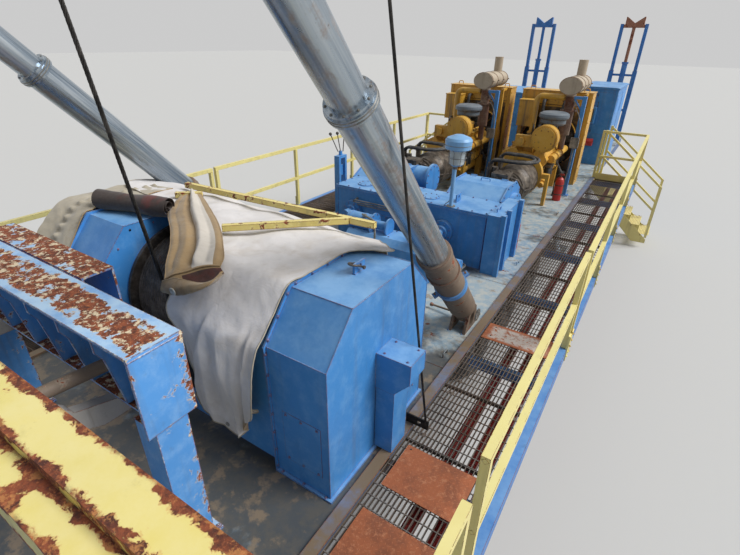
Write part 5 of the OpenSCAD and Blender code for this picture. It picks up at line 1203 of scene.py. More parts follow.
CYLINDER_SLOPE = math.radians(47)
CYLINDER_AXIS = Vector((0, -math.cos(CYLINDER_SLOPE), math.sin(CYLINDER_SLOPE)))
CYLINDER_FOOT = (1.56, 4.12, 0.18)
CASE_X = (-1.2, 1.25)
CASE_Y = (5.5, 6.13)
CASE_H = 0.8
HOOD_Y = (6.19, 7.15)
ENGINE_Y = (8.8, 10.5)
RADIATOR_Y = (10.7, 11.1)
RADIATOR_HALF = 0.71
RADIATOR_H = 1.88


def pipe(shape, points, r, bend=0.05):
    """A pipe with union nuts at both ends."""
    shape.rod(points, bend, r, 10)
    for a, b in ((points[0], points[1]), (points[-1], points[-2])):
        a, ahead = Vector(a), (Vector(b) - Vector(a)).normalized()
        shape.turned([(1.9 * r, 0.0), (1.9 * r, 2.2 * r), (1.4 * r, 2.6 * r)], a, ahead, 6)


def at_cylinder(side, s, out=0.0, turn=0.0):
    """A place s along a raising cylinder, out from its axis, turned about it from the sky to the right."""
    up = Vector((0, math.sin(CYLINDER_SLOPE), math.cos(CYLINDER_SLOPE)))
    foot = Vector((side * CYLINDER_FOOT[0], *CYLINDER_FOOT[1:]))
    return foot + CYLINDER_AXIS * s + (up * math.cos(turn) + Vector(RIGHT) * math.sin(turn)) * out


def cylinders():
    """Clamp bands, pipes, glands and pin plates of the two raising cylinders."""
    blue, brown, bright = Shape(), Shape(), Shape()
    axis = CYLINDER_AXIS
    for side in (1, -1):
        port = math.radians(-60 * side)
        blue.turned([(0.1435, 0), (0.156, 0.001), (0.156, 0.069), (0.1435, 0.07)], at_cylinder(side, 0.74),
                    axis, 40)
        for turn in (math.radians(35), math.radians(215)):
            root, ear = (at_cylinder(side, 0.775, out, turn) for out in (0.15, 0.175))
            blue.bar(root, ear + (ear - root), 0.05, 0.03, up=axis)
            brown.turned([(0.011, -0.045), (0.011, -0.03), (0.006, -0.03), (0.006, 0.03), (0.011, 0.03),
                          (0.011, 0.045)], ear, axis, 6)
        # Port block on the band, and the pipe that runs down the barrel to the deck
        block = at_cylinder(side, 0.74, 0.185, port)
        blue.bar(block, block + axis * 0.07, 0.07, 0.07)
        high, low = (at_cylinder(side, s, 0.185, port) for s in (0.7, 0.32))
        pipe(brown, [block + axis * 0.01, high, low, (low.x, 4.22, 0.06),
                     (low.x - 0.3 * side, 4.24, 0.05)], 0.012)
        pipe(brown, [at_cylinder(side, s, 0.172, port) for s in (0.82, 1.02)], 0.012)
        for s in (0.45, 0.6):
            grip = at_cylinder(side, s, 0.165, port)
            blue.bar(grip, grip + axis * 0.03, 0.045, 0.05)
        # Collar and wiper at the barrel's mouth, and the gland's screws and rings above it
        brown.turned([(0.1432, 0), (0.152, 0.012), (0.152, 0.068), (0.147, 0.08), (0.13, 0.084)],
                     at_cylinder(side, 1.4), axis, 40)
        bright.ring_of_bolts(at_cylinder(side, 3.24), axis, 0.122, 10, 0.006)
        for s in (3.185, 3.205):
            bright.turned([(0.1432, 0), (0.1462, 0.003), (0.1462, 0.007), (0.1432, 0.01)],
                          at_cylinder(side, s),
                          axis, 40)
        # Keeper plates on the foot pin, with their screws and a grease nipple
        outer, inner = (Vector((side * x, *CYLINDER_FOOT[1:])) for x in (1.7, 1.465))
        out = Vector((side, 0, 0))
        bright.turned([(0.07, -0.001), (0.07, 0.012)], outer, out)
        bright.ring_of_bolts(outer + out * 0.012, out, 0.05, 3, 0.008)
        bright.turned([(0.008, 0.011), (0.005, 0.02), (0.006, 0.026)], outer, out, 8)
        bright.turned([(0.07, -0.001), (0.07, 0.012)], inner, -out)
        for y, x in product((3.97, 4.26), (side * 1.465, side * 1.62)):
            blue.weld((x, y - 0.05, 0.003), (x, y + 0.03, 0.003), 0.007)
    piece("cylinder_clamps", blue, "machine_blue")
    piece("cylinder_pipes", brown, "barrel_brown")
    piece("cylinder_glands", bright, "chrome_rod", looks=["grey_metal"])


def power_case():
    """Bolts, covers and pipes on the compound case, its hoods, its clutch guards and the pump."""
    shape = Shape()
    (left, right), (front, back) = ((ends[0] + 0.035, ends[1] - 0.035) for ends in (CASE_X, CASE_Y))
    top = [(left, front), (right, front), (right, back), (left, back)]
    for a, b in pairwise(top + top[:1]):
        shape.bolts((*a, CASE_H), (*b, CASE_H), 0.2, UP, 0.011)
    # Round inspection covers and a filler on the lid
    for x in (-0.8, -0.15, 0.3):
        shape.turned([(0.13, -0.001), (0.13, 0.012), (0.12, 0.014)], (x, 5.78, CASE_H), UP, 32)
        shape.ring_of_bolts((x, 5.78, CASE_H + 0.012), UP, 0.108, 8, 0.008)
    shape.turned([(0.03, 0), (0.03, 0.06), (0.055, 0.065), (0.055, 0.1), (0.04, 0.115)],
                 (-0.45, 5.98, CASE_H),
                 UP, 20)
    # Bearing covers and square hand holes in front
    side_y = CASE_Y[0] + 0.03
    for x in (CASE_X[0] + 0.33, CASE_X[1] - 0.62):
        shape.ring_of_bolts((x, CASE_Y[0] - 0.04, 0.44), WELL, 0.132, 8, 0.01)
        shape.ring_of_bolts((x, CASE_Y[0] - 0.09, 0.44), WELL, 0.08, 6, 0.008)
    for low, high in ((-0.45, -0.12), (0.02, 0.35)):
        shape.box((low, high), (side_y - 0.01, side_y), (0.18, 0.46))
        for z in (0.205, 0.435):
            shape.bolts((low + 0.03, side_y - 0.01, z), (high - 0.03, side_y - 0.01, z), 0.13, WELL, 0.008)
    ends = (CASE_X[0] + 0.03, CASE_X[1] - 0.03)
    for x in ends:
        shape.weld((x, side_y, 0.01), (x, side_y, 0.75), 0.006)
    shape.weld((ends[0], side_y, 0.004), (ends[1], side_y, 0.004), 0.007)
    # Hood rims, their hinges and handles, and the clutch guards' screws
    low, ridge = CASE_H - 0.06, CASE_H + 0.1
    rim = [(HOOD_Y[0], 0.06), (HOOD_Y[0], low - 0.03), (HOOD_Y[0] + 0.32, ridge - 0.012),
           (HOOD_Y[1] - 0.25, ridge - 0.012), (HOOD_Y[1] - 0.02, low)]
    for mid in ENGINE_X:
        for x, out in ((mid - 0.408, LEFT), (mid + 0.428, RIGHT)):
            for a, b in pairwise(rim):
                shape.bolts((x, *a), (x, *b), 0.24, out, 0.009)
        y = HOOD_Y[1] - 0.25
        for x in (mid - 0.25, mid + 0.25):
            shape.tube([(x - 0.05, y, ridge + 0.008), (x + 0.05, y, ridge + 0.008)], 0.01, 10)
            shape.box((x - 0.05, x + 0.05), (y - 0.05, y), (ridge, ridge + 0.004))
        shape.loop((mid - 0.06, 6.7, ridge), (mid + 0.08, 6.7, ridge), (0, 0, 0.04))
        shape.ring_of_bolts((mid + 0.53, 6.79, 0.43), RIGHT, 0.17, 8, 0.009)
        shape.ring_of_bolts((mid + 0.5, 6.79, 0.43), RIGHT, 0.3, 12, 0.009)
        shape.turned([(0.06, -0.001), (0.06, 0.02), (0.03, 0.03)], (mid + 0.53, 6.79, 0.43), RIGHT, 20)
    shape.ring_of_bolts((-0.06, 6.6, 0.8), RIGHT, 0.22, 12, 0.01)
    shape.ring_of_bolts((-0.34, 6.6, 0.8), LEFT, 0.14, 8, 0.01)
    # Chain guard at the case's end
    for y in (5.5, 6.2):
        shape.bolts((1.44, y, 0.08), (1.44, y, 0.78), 0.175, RIGHT, 0.009)
    shape.loop((1.33, 5.6, 0.83), (1.33, 5.74, 0.83), (0, 0, 0.05), 0.008)
    # Pump: flange screws, motor bands, and the screws of its covers
    for x, y in product((-0.42, -0.15, 0.15, 0.45, 0.76), (4.85, 5.08)):
        shape.bolt((x, y, 0.46), UP, 0.009)
    for x in (-0.51, -0.3):
        shape.turned([(0.1155, 0), (0.121, 0.004), (0.121, 0.026), (0.1155, 0.03)],
                     (x, 4.96, 0.55), RIGHT, 32)
    shape.ring_of_bolts((-0.13, 4.96, 0.55), RIGHT, 0.13, 8, 0.008)
    shape.ring_of_bolts((0.93, 4.96, 0.26), RIGHT, 0.115, 8, 0.009)
    shape.ring_of_bolts((1.15, 4.96, 0.26), RIGHT, 0.06, 6, 0.007)
    shape.ring_of_bolts((0.64, 4.8, 0.59), WELL, 0.108, 8, 0.008)
    piece("power_fittings", shape, "machine_blue")

    pipes = Shape()
    for k, z in enumerate((0.56, 0.6, 0.64)):
        x, y = -0.9 + 0.05 * k, side_y - 0.05 - 0.02 * k
        pipe(pipes, [(x, side_y, z), (x, y, z), (0.5, y, z), (0.56, 5.2, 0.62), (0.6, 5.12, 0.59)], 0.009)
    pipe(pipes, [(0.68, 5.12, 0.62), (0.68, 5.24, 0.62), (0.68, 5.32, 0.12), (1.1, 5.32, 0.12),
                 (1.1, 5.0, 0.14)],
         0.016, 0.06)
    pipe(pipes, [(-0.25, 4.9, 0.66), (-0.25, 4.8, 0.72), (0.05, 4.66, 0.72), (0.05, 4.66, 0.1)], 0.014, 0.06)
    pipe(pipes, [(-1.17, 5.7, 0.3), (-1.27, 5.7, 0.3), (-1.27, 5.3, 0.12), (-0.7, 5.1, 0.06)], 0.014, 0.06)
    piece("oil_pipes", pipes, "grey_metal")
    oil_valve()


def oil_valve():
    """The yellow valve between the pump and the case, with its spoked wheel, stand and pipes."""
    valve = Shape()
    at = Vector((0.42, 5.32, 0.3))
    valve.turned([(0.02, -0.14), (0.07, -0.14), (0.07, -0.115), (0.035, -0.11), (0.05, -0.04), (0.06, 0.0),
                  (0.05, 0.04), (0.035, 0.11), (0.07, 0.115), (0.07, 0.14), (0.02, 0.14)], at, RIGHT, 24)
    for s in (-1, 1):
        valve.ring_of_bolts(at + Vector((0.14 * s, 0, 0)), (s, 0, 0), 0.055, 6, 0.007)
    valve.turned([(0.035, 0.03), (0.035, 0.1), (0.05, 0.105), (0.05, 0.12), (0.012, 0.125),
                  (0.012, 0.22)], at,
                 UP, 20)
    wheel = at + Vector((0, 0, 0.21))
    valve.tube(circle(wheel, 0.085, 28), 0.008, 8, ends=False)
    for rim in circle(wheel, 0.085, 4)[:-1]:
        valve.tube([wheel + Vector((0, 0, 0.002)), rim], 0.006, 8)
    piece("oil_valve", valve, "engine_yellow")
    stand = Shape()
    stand.box((0.39, 0.45), (5.28, 5.36), (0.0, 0.25))
    stand.tube([(0.28, 5.32, 0.3), (0.12, 5.32, 0.3), (0.02, 5.4, 0.3), (0.0, 5.52, 0.3)], 0.03, 12)
    stand.tube([(0.56, 5.32, 0.3), (0.72, 5.32, 0.3), (0.8, 5.26, 0.28), (0.82, 5.15, 0.26)], 0.03, 12)
    piece("valve_pipes", stand, "grey_metal")


def engine_banks(at, gold, steel):
    """Both banks of an engine: cover bolts, injection lines, the manifold's joints and crankcase doors."""
    y0, y1 = ENGINE_Y
    tilt = math.atan2(0.05, 0.13)
    for s in (-1, 1):
        out = Vector((s * math.sin(tilt), 0, math.cos(tilt)))
        across = Vector((math.cos(tilt), 0, -s * math.sin(tilt)))
        for i in range(3):
            base = at(s * 0.265, y0 + 0.33 + i * 0.43, 0.985)
            for y in (0.04, 0.19, 0.34):
                steel.bolt(base + out * 0.095 + Vector((0, y, 0)), out, 0.012)
            for y, d in product((0.05, 0.33), (-0.055, 0.055)):
                gold.turned([(0.014, 0.0), (0.014, 0.1)], base + Vector((0, y, 0)) + across * d, out, 10)
            for k in range(2):
                start = at(0.05 + 0.02 * i, y1 - 0.5 - 0.1 * i - 0.05 * k, 1.17)
                end = base + Vector((0, 0.1 + 0.19 * k, 0)) - across * s * 0.075 + out * 0.03
                steel.rod([start, start + Vector((0, 0, 0.04)), end + Vector((0, 0, 0.12)), end],
                          0.03, 0.0045, 6)
        for i in range(6):
            y = y0 + 0.395 + i * 0.19
            for z, way in ((0.8, -1), (0.86, 1)):
                steel.bolt(at(s * 0.415, y, z), (s * 0.2, 0, way), 0.009)
        for y in (y0 + 0.55, y0 + 0.93):
            for k in range(4):
                gold.turned([(0.0705, 0), (0.082, 0.006), (0.0705, 0.012)], at(s * 0.44, y + 0.014 * k, 0.83),
                            TOW, 28)
        door = sorted(at(s * x, 0, 0).x for x in (0.309, 0.317))
        for i in range(4):
            y = y0 + 0.24 + i * 0.36
            gold.box(door, (y, y + 0.24), (0.44, 0.62))
            for dy, z in product((0.03, 0.21), (0.47, 0.59)):
                steel.bolt(at(s * 0.317, y + dy, z), (s, 0, 0), 0.009)


def fan(at, black, steel):
    """An engine's fan, its shaft, its belts and the belt pulley."""
    hub = at(0, RADIATOR_Y[0] - 0.075, 0.87)
    lift = Vector((0, 0.002, 0))
    for k in range(6):
        a = math.tau * k / 6 + 0.3
        radial = Vector((math.cos(a), 0, math.sin(a)))
        tangent = Vector((-math.sin(a), 0, math.cos(a)))
        rings = []
        for r, chord, pitch in ((0.1, 0.1, 0.6), (0.3, 0.16, 0.45), (0.53, 0.2, 0.3)):
            middle = hub + radial * r
            cut = (tangent * math.cos(pitch) + Vector(TOW) * math.sin(pitch) * 0.5) * chord / 2
            rings.append([middle - cut - lift, middle + cut - lift, middle + cut + lift, middle - cut + lift])
        black.skin(rings)
    steel.turned([(0.04, -0.32), (0.04, -0.02), (0.1, -0.02), (0.1, 0.0)], hub, TOW, 24)
    y = ENGINE_Y[1] + 0.1
    for k in range(2):
        belt = []
        for r, z, start in ((0.075, 0.87, 0), (0.125, 0.47, math.pi)):
            turns = [start + math.pi * i / 16 for i in range(17)]
            belt += [at(r * math.cos(a), y - 0.012 * k, z + r * math.sin(a)) for a in turns]
        black.tube(belt + belt[:1], 0.007, 6, ends=False)
    steel.turned([(0.055, -0.012), (0.074, -0.01), (0.066, 0.0), (0.074, 0.01), (0.055, 0.012)],
                 at(0, y - 0.005, 0.87), TOW, 28)


def engine_hoses(at, black, steel):
    """An engine's coolant hoses and their clamps, the air cleaner's clamps and hose, loom and fuel lines."""
    y0, y1 = ENGINE_Y
    tank = RADIATOR_Y[0] + 0.02
    for x in (-0.2, 0.22):
        route = bent([at(x, tank, 1.7), at(x, tank - 0.14, 1.7), at(x * 0.8, y1 - 0.1, 1.2),
                      at(x * 0.8, y1 - 0.2, 1.0)], 0.12, 8)
        black.tube(route, 0.036, 14)
        for i in (2, -3):
            steel.turned([(0.0365, 0), (0.039, 0.002), (0.039, 0.014), (0.0365, 0.016)], route[i],
                         route[i + 1] - route[i], 20)
    black.rod([at(0.45, tank, 0.25), at(0.45, tank - 0.22, 0.25), at(0.3, y1 - 0.05, 0.5),
               at(0.24, y1 - 0.05, 0.62)], 0.1, 0.04, 14, 8)
    cleaner = at(0.31, y0 + 0.5, 1.1)
    for z in (0.345, 0.42):
        steel.turned([(0.226, z), (0.229, z + 0.002), (0.229, z + 0.016), (0.226, z + 0.018)],
                     cleaner, UP, 40)
    for k in range(3):
        a = math.tau * k / 3 + 0.6
        clip = cleaner + Vector((0.24 * math.cos(a), 0.24 * math.sin(a), 0.4))
        steel.bar(clip, clip + Vector((0, 0, 0.07)), 0.025, 0.008, up=(math.cos(a), math.sin(a), 0))
    black.rod([at(0.31, y0 + 0.55, 1.16), at(0.31, y0 + 0.75, 1.16), at(0.1, y0 + 0.85, 1.15),
               at(0.07, y0 + 0.9, 1.1)], 0.1, 0.05, 14, 8)
    black.tube([at(-0.15 + 0.01 * math.sin(3 * t), y0 + 0.3 + 0.15 * t, 1.0 + 0.012 * math.sin(2 * t))
                for t in range(9)], 0.014, 8)
    for x in (0.07, 0.17):
        black.rod([at(x, y0 + 0.16, 1.24), at(x, y0 + 0.1, 1.42), at(x - 0.1, y0 + 0.5, 1.4),
                   at(x - 0.14, y0 + 0.6, 1.17)], 0.08, 0.013)


def muffler_post(name, mid):
    """The blue post that stands beside an engine and steadies its muffler, with the junction box on it."""
    post, box = Shape(), Shape()
    x, y = mid + 0.7, ENGINE_Y[0] + 1.01
    post.box((x - 0.036, x + 0.036), (y - 0.036, y + 0.036), (0.0, 1.9))
    post.box((x - 0.08, x + 0.08), (y - 0.08, y + 0.08), (0.0, 0.014))
    for dx, dy in product((-0.058, 0.058), (-0.058, 0.058)):
        post.bolt((x + dx, y + dy, 0.014), UP, 0.009)
    post.bar((x + 0.02, y, 1.87), (mid + 0.5, y, 1.87), 0.06, 0.05)
    post.bar((x, y, 1.62), (mid + 0.52, y, 1.85), 0.03, 0.03)
    piece(name + "_muffler_post", post, "machine_blue")
    box.box((x - 0.07, x + 0.07), (y - 0.13, y - 0.036), (0.98, 1.16))
    box.box((x - 0.078, x + 0.078), (y - 0.142, y - 0.13), (0.97, 1.17))
    for dx, z in product((-0.062, 0.062), (0.99, 1.15)):
        box.bolt((x + dx, y - 0.142, z), WELL, 0.007)
    box.rod([(x, y - 0.08, 0.985), (x, y - 0.08, 0.7), (x - 0.03, y - 0.06, 0.35), (x - 0.03, y - 0.06, 0.0)],
            0.08, 0.011, 10)
    box.rod([(x + 0.04, y - 0.08, 1.155), (x + 0.04, y - 0.08, 1.3), (x, y - 0.06, 1.5),
             (x - 0.2, y - 0.02, 1.84)],
            0.1, 0.009)
    piece(name + "_junction_box", box, "grey_metal")


def engine_details(name, mid):
    """What shows on one engine: bolts, lines, filters, fan and belts, hoses and clamps, and its exhaust."""
    def at(x, y, z):
        return Vector((mid + x, y, z))

    gold, black, steel, exhaust = Shape(), Shape(), Shape(), Shape()
    y0, y1 = ENGINE_Y
    engine_banks(at, gold, steel)
    # Oil filters, starter and dipstick on the side that faces the walkway
    for y in (y0 + 0.42, y0 + 0.58):
        black.turned([(0.05, 0), (0.055, 0.01), (0.055, 0.2), (0.045, 0.22), (0.02, 0.225)], at(0.4, y, 0.66),
                     DOWN, 24)
        steel.box((mid + 0.3, mid + 0.46), (y - 0.06, y + 0.06), (0.655, 0.69))
    gold.turned([(0.05, 0), (0.05, 0.12), (0.075, 0.125), (0.075, 0.36), (0.05, 0.38)],
                at(0.37, y0 + 0.12, 0.36),
                TOW, 24)
    steel.rod([at(0.32, y1 - 0.5, 0.4), at(0.42, y1 - 0.5, 0.5), at(0.43, y1 - 0.48, 1.0)], 0.08, 0.008)
    fan(at, black, steel)
    engine_hoses(at, black, steel)
    # The round drum's bands and studs
    gold.ring_of_bolts(at(0.3, y0, 1.225), WELL, 0.16, 8, 0.009)
    for y in (y0 + 0.05, y0 + 0.21):
        gold.turned([(0.2355, 0), (0.241, 0.003), (0.241, 0.017), (0.2355, 0.02)], at(0.3, y, 1.225), TOW, 40)
    # Exhaust: flange bolts, bellows below the muffler and its band clamps
    riser = at(0.44, y0 + 1.04, 0)
    steel.ring_of_bolts(riser + Vector((0, 0, 1.64)), UP, 0.125, 8, 0.011)
    bellows = [(0.086, 1.70)]
    for k in range(9):
        bellows += [(0.098, 1.71 + 0.022 * k), (0.086, 1.721 + 0.022 * k)]
    exhaust.turned(bellows, riser, UP, 32)
    for dy in (0.02, 0.33, 0.66, 0.97):
        band = at(0.64, y0 + 0.78 + dy, 2.08)
        exhaust.bar(band, band + Vector((0.03, 0, 0)), 0.03, 0.02)
    muffler_post(name, mid)
    piece(name + "_engine_trim", gold, "engine_yellow")
    piece(name + "_engine_hoses", black, "hose_rubber")
    piece(name + "_engine_fixings", steel, "grey_metal", looks=["dark_steel"])
    piece(name + "_exhaust_trim", exhaust, "muffler_metal")


def radiators():
    """Fins across the cores, guard bars, cap, lifting eyes and frame bolts of the two radiators."""
    fins, trim, steel = Shape(), Shape(), Shape()
    near, far = RADIATOR_Y
    count = 60
    for mid in ENGINE_X:
        wide = RADIATOR_HALF - 0.075
        for y in (near + 0.052, far - 0.06):
            for k in range(count):
                x = mid - wide + 2 * wide * (k + 0.5) / count
                fins.box((x - 0.004, x + 0.004), (y, y + 0.008), (0.1, RADIATOR_H - 0.265))
        for k in range(13):
            z = 0.16 + k * 0.118
            fins.box((mid - wide, mid + wide), (far - 0.05, far - 0.038), (z, z + 0.012))
        # Guard grille on the side away from the engine
        y = far - 0.006
        for k in range(9):
            x = mid - 0.6 + k * 0.15
            trim.tube([(x, y, 0.08), (x, y, RADIATOR_H - 0.25)], 0.006, 8)
        for z in (0.35, 0.8, 1.25):
            trim.bar((mid - 0.66, y, z), (mid + 0.66, y, z), 0.006, 0.03)
        for s in (-1, 1):
            x = mid + s * RADIATOR_HALF
            for y in (near + 0.05, far - 0.05):
                trim.bolts((x, y, 0.12), (x, y, RADIATOR_H - 0.1), 0.24, (s, 0, 0), 0.009)
            eye = Vector((mid + s * 0.55, 10.9, RADIATOR_H + 0.011))
            across = Vector((0.05, 0, 0))
            trim.loop(eye - across, eye + across, (0, 0, 0.063), 0.009, 0.03)
        trim.bolts((mid - 0.62, near, 1.7), (mid + 0.62, near, 1.7), 0.155, WELL, 0.008)
        trim.ring_of_bolts((mid, near - 0.11, 0.87), WELL, 0.581, 16, 0.006)
        steel.turned([(0.056, 0), (0.06, 0.003), (0.06, 0.02), (0.05, 0.026)],
                     (mid + 0.18, 10.9, RADIATOR_H + 0.07),
                     UP, 28)
        z = RADIATOR_H + 0.098
        steel.bar((mid + 0.12, 10.9, z), (mid + 0.24, 10.9, z), 0.016, 0.012)
    piece("radiator_fins", fins, "core_black")
    piece("radiator_trim", trim, "engine_yellow")
    piece("radiator_caps", steel, "grey_metal", looks=["dark_steel"])


def transmissions():
    """Bolts, nuts, hose ends and a pressure line on the two transmissions."""
    steel = Shape()
    for mid in ENGINE_X:
        steel.ring_of_bolts((mid, 7.245, 0.48), WELL, 0.25, 12, 0.011)
        for y in (7.32, 7.44, 7.56, 7.68, 7.8):
            steel.bolt((mid, y, 0.8), UP, 0.01)
        for y in (7.65, 8.31, 7.715, 8.245):
            at = (mid - 0.26, y, 0.88)
            steel.turned([(0.046, -0.05), (0.046, -0.012), (0.04, -0.004)], at, UP, 6)
            steel.turned([(0.0265, 0.001), (0.031, 0.004), (0.031, 0.075), (0.0265, 0.08)], at, UP, 20)
        for x, y in product((mid - 0.09, mid + 0.13), (7.39, 7.61)):
            steel.bolt((x, y, 0.86), UP, 0.011)
        pipe(steel, [(mid + 0.16, 7.5, 0.78), (mid + 0.28, 7.5, 0.78), (mid + 0.33, 7.9, 0.5),
                     (mid + 0.33, 8.5, 0.4)],
             0.014, 0.06)
        steel.bolt((mid, 8.78, 0.48), WELL, 0.01)
    piece("transmission_fixings", steel, "grey_metal", looks=["dark_steel"])


def louvres(shape, a, b, out, low, count, step):
    """Pressed louvres one above the other, from place a to place b, that stand out by out."""
    for k in range(count):
        z = low + k * step
        shape.skin([[Vector(p) for p in ((x, y, z), (x + out[0], y + out[1], z + 0.002),
                                         (x + out[0], y + out[1], z + 0.006), (x, y, z + 0.026))]
                    for x, y in (a, b)])


CABINETS = [((-1.6, -0.55), 1.6), ((-0.5, 0.78), 1.45), ((0.82, 1.7), 1.85)]
CABINET_Y = (12.992, 14.908)


def cabinets():
    """Louvres, doors, hinges and handles on the cabinets at the towing end, and the control box's panel."""
    trim, steel = Shape(), Shape()
    near, far = CABINET_Y
    for (x0, x1), height in CABINETS:
        low, high = 0.76, height - 0.12
        for d in (0, 1):
            a = x0 + 0.06 + d * (x1 - x0 - 0.1) / 2
            b = x0 + 0.02 + (d + 1) * (x1 - x0 - 0.08) / 2
            # The tall cabinet's front is plain, because the control box covers it
            if x0 < 0.8:
                louvres(trim, (b - 0.06, near), (a + 0.06, near), (0, -0.016), low + 0.1, 7, 0.035)
            for z in (low + 0.06, high - 0.06):
                steel.tube([(a + 0.004, near - 0.006, z - 0.035),
                            (a + 0.004, near - 0.006, z + 0.035)], 0.008, 10)
            handle = (b - 0.05) if d == 0 else (a + 0.05)
            steel.loop((handle, near, high - 0.22), (handle, near, high - 0.34), (0, -0.035, 0))
        trim.bolts((x0 + 0.05, 12.97, height - 0.03), (x1 - 0.05, 12.97, height - 0.03), 0.2, WELL, 0.008)
        # Doors and vents on the far face
        count = max(1, round((x1 - x0) / 0.5))
        for k in range(count):
            a = x0 + 0.05 + k * (x1 - x0 - 0.06) / count
            b = a + (x1 - x0 - 0.06) / count - 0.04
            trim.box((a, b), (far - 0.008, far), (0.12, height - 0.14))
            louvres(trim, (a + 0.05, far), (b - 0.05, far), (0, 0.016), height - 0.55, 8, 0.035)
            for z in (0.3, height - 0.8):
                steel.tube([(a + 0.004, far + 0.006, z - 0.04),
                            (a + 0.004, far + 0.006, z + 0.04)], 0.009, 10)
            steel.loop((b - 0.05, far, 0.9), (b - 0.05, far, 0.78), (0, 0.037, 0))
    # Side of the tall cabinet: two doors with louvres
    for low, high in ((13.08, 13.92), (13.98, 14.82)):
        trim.box((1.7, 1.706), (low, high), (0.1, 1.7))
        louvres(trim, (1.706, low + 0.1), (1.706, high - 0.1), (0.01, 0), 1.25, 10, 0.036)
    piece("cabinet_trim", trim, "machine_blue", looks=["louvre_blue"])
    # The control box's panel, with six gauges over three buttons
    panel, dials = Shape(), Shape()
    front = 12.804
    panel.box((0.94, 1.28), (front, front + 0.006), (1.06, 1.36))
    for x in (1.0, 1.11, 1.22):
        for z in (1.29, 1.2):
            panel.turned([(0.03, 0), (0.03, 0.012), (0.034, 0.014), (0.034, 0.02), (0.027, 0.021)],
                         (x, front, z),
                         WELL, 24)
            dials.turned([(0.0265, 0.0195), (0.0265, 0.0225)], (x, front, z), WELL, 24)
        panel.turned([(0.012, 0), (0.012, 0.03), (0.008, 0.032)], (x, front, 1.11), WELL, 16)
    piece("control_panel", panel, "grey_metal", looks=["dark_steel"])
    piece("panel_dials", dials, "grey_metal", looks=["dial"])
    piece("cabinet_hardware", steel, "grey_metal", looks=["dark_steel"])


STAIR_X = (1.74, 3.16)
STEPS = 6
AXLES_Y = (5.2, 6.6, 8.0)
AXLE_Z = -0.91


def deck_details():
    """Weld lines and tie loops on the deck, bolts at the rail feet, wheel nuts, hubs and stair nosings."""
    deck, rails, wheels, treads = Shape(), Shape(), Shape(), Shape()
    for y in (0.8, 3.3, 5.3, 7.2, 9.6, 11.9, 14.95, 16.4):
        deck.weld((-1.69, y, 0.0005), (1.69, y, 0.0005), 0.004)
    for y, x in product((1.0, 3.5, 6.0, 8.5, 11.2, 12.6, 15.6, 17.2), (-1.62, 1.62)):
        deck.loop((x, y - 0.05, -0.004), (x, y + 0.05, -0.004), (0, 0, 0.054), 0.008, 0.02)
    piece("deck_fittings", deck, "deck_paint")
    for low, high, inset in ((0.5, 1.29, 0.0), (1.55, 4.34, 0.012), (4.4, 11.6, 0.0)):
        posts = max(1, round((high - low) / 1.9))
        x = 2.605 - inset
        for i in range(posts + 1):
            y = low + 0.025 + i * (high - low - 0.05) / posts
            for z in (-0.1, -0.04, 0.04, 0.12):
                rails.bolt((2.64, y, z), RIGHT, 0.01)
            for z in (0.48, 1.02):
                rails.weld((x - 0.026, y - 0.026, z), (x - 0.026, y + 0.026, z), 0.004)
        for z, y in product((1.045, 0.505), (low, high)):
            rails.turned([(0.02, -0.002), (0.02, 0.002)], (x, y, z), TOW, 4)
    piece("rail_fixings", rails.pair(), "rail_yellow")
    for y in AXLES_Y:
        for x in (1.15, 1.51):
            wheels.ring_of_bolts((x, y, AXLE_Z), RIGHT, 0.15, 10, 0.014)
        wheels.turned([(0.095, -0.03), (0.095, 0.05), (0.08, 0.065), (0.03, 0.07)],
                      (1.47, y, AXLE_Z), RIGHT, 28)
        wheels.ring_of_bolts((1.535, y, AXLE_Z), RIGHT, 0.065, 8, 0.007)
    piece("wheel_nuts", wheels.pair(), "dark_steel")
    for i in range(STEPS):
        x = STAIR_X[0] + 0.03 + i * (STAIR_X[1] - STAIR_X[0] - 0.23) / (STEPS - 1)
        z = -0.16 - i * 0.98 / (STEPS - 1)
        for k in range(7):
            treads.box((x + 0.025 + k * 0.03, x + 0.031 + k * 0.03), (11.74, 12.5), (z - 0.001, z + 0.004))
        for y, out in ((11.714, WELL), (12.546, TOW)):
            treads.bolts((x + 0.06, y, z - 0.03), (x + 0.17, y, z - 0.03), 0.11, out, 0.008)
    piece("tread_strips", treads.pair(), "rail_yellow", looks=["rusty_yellow"])


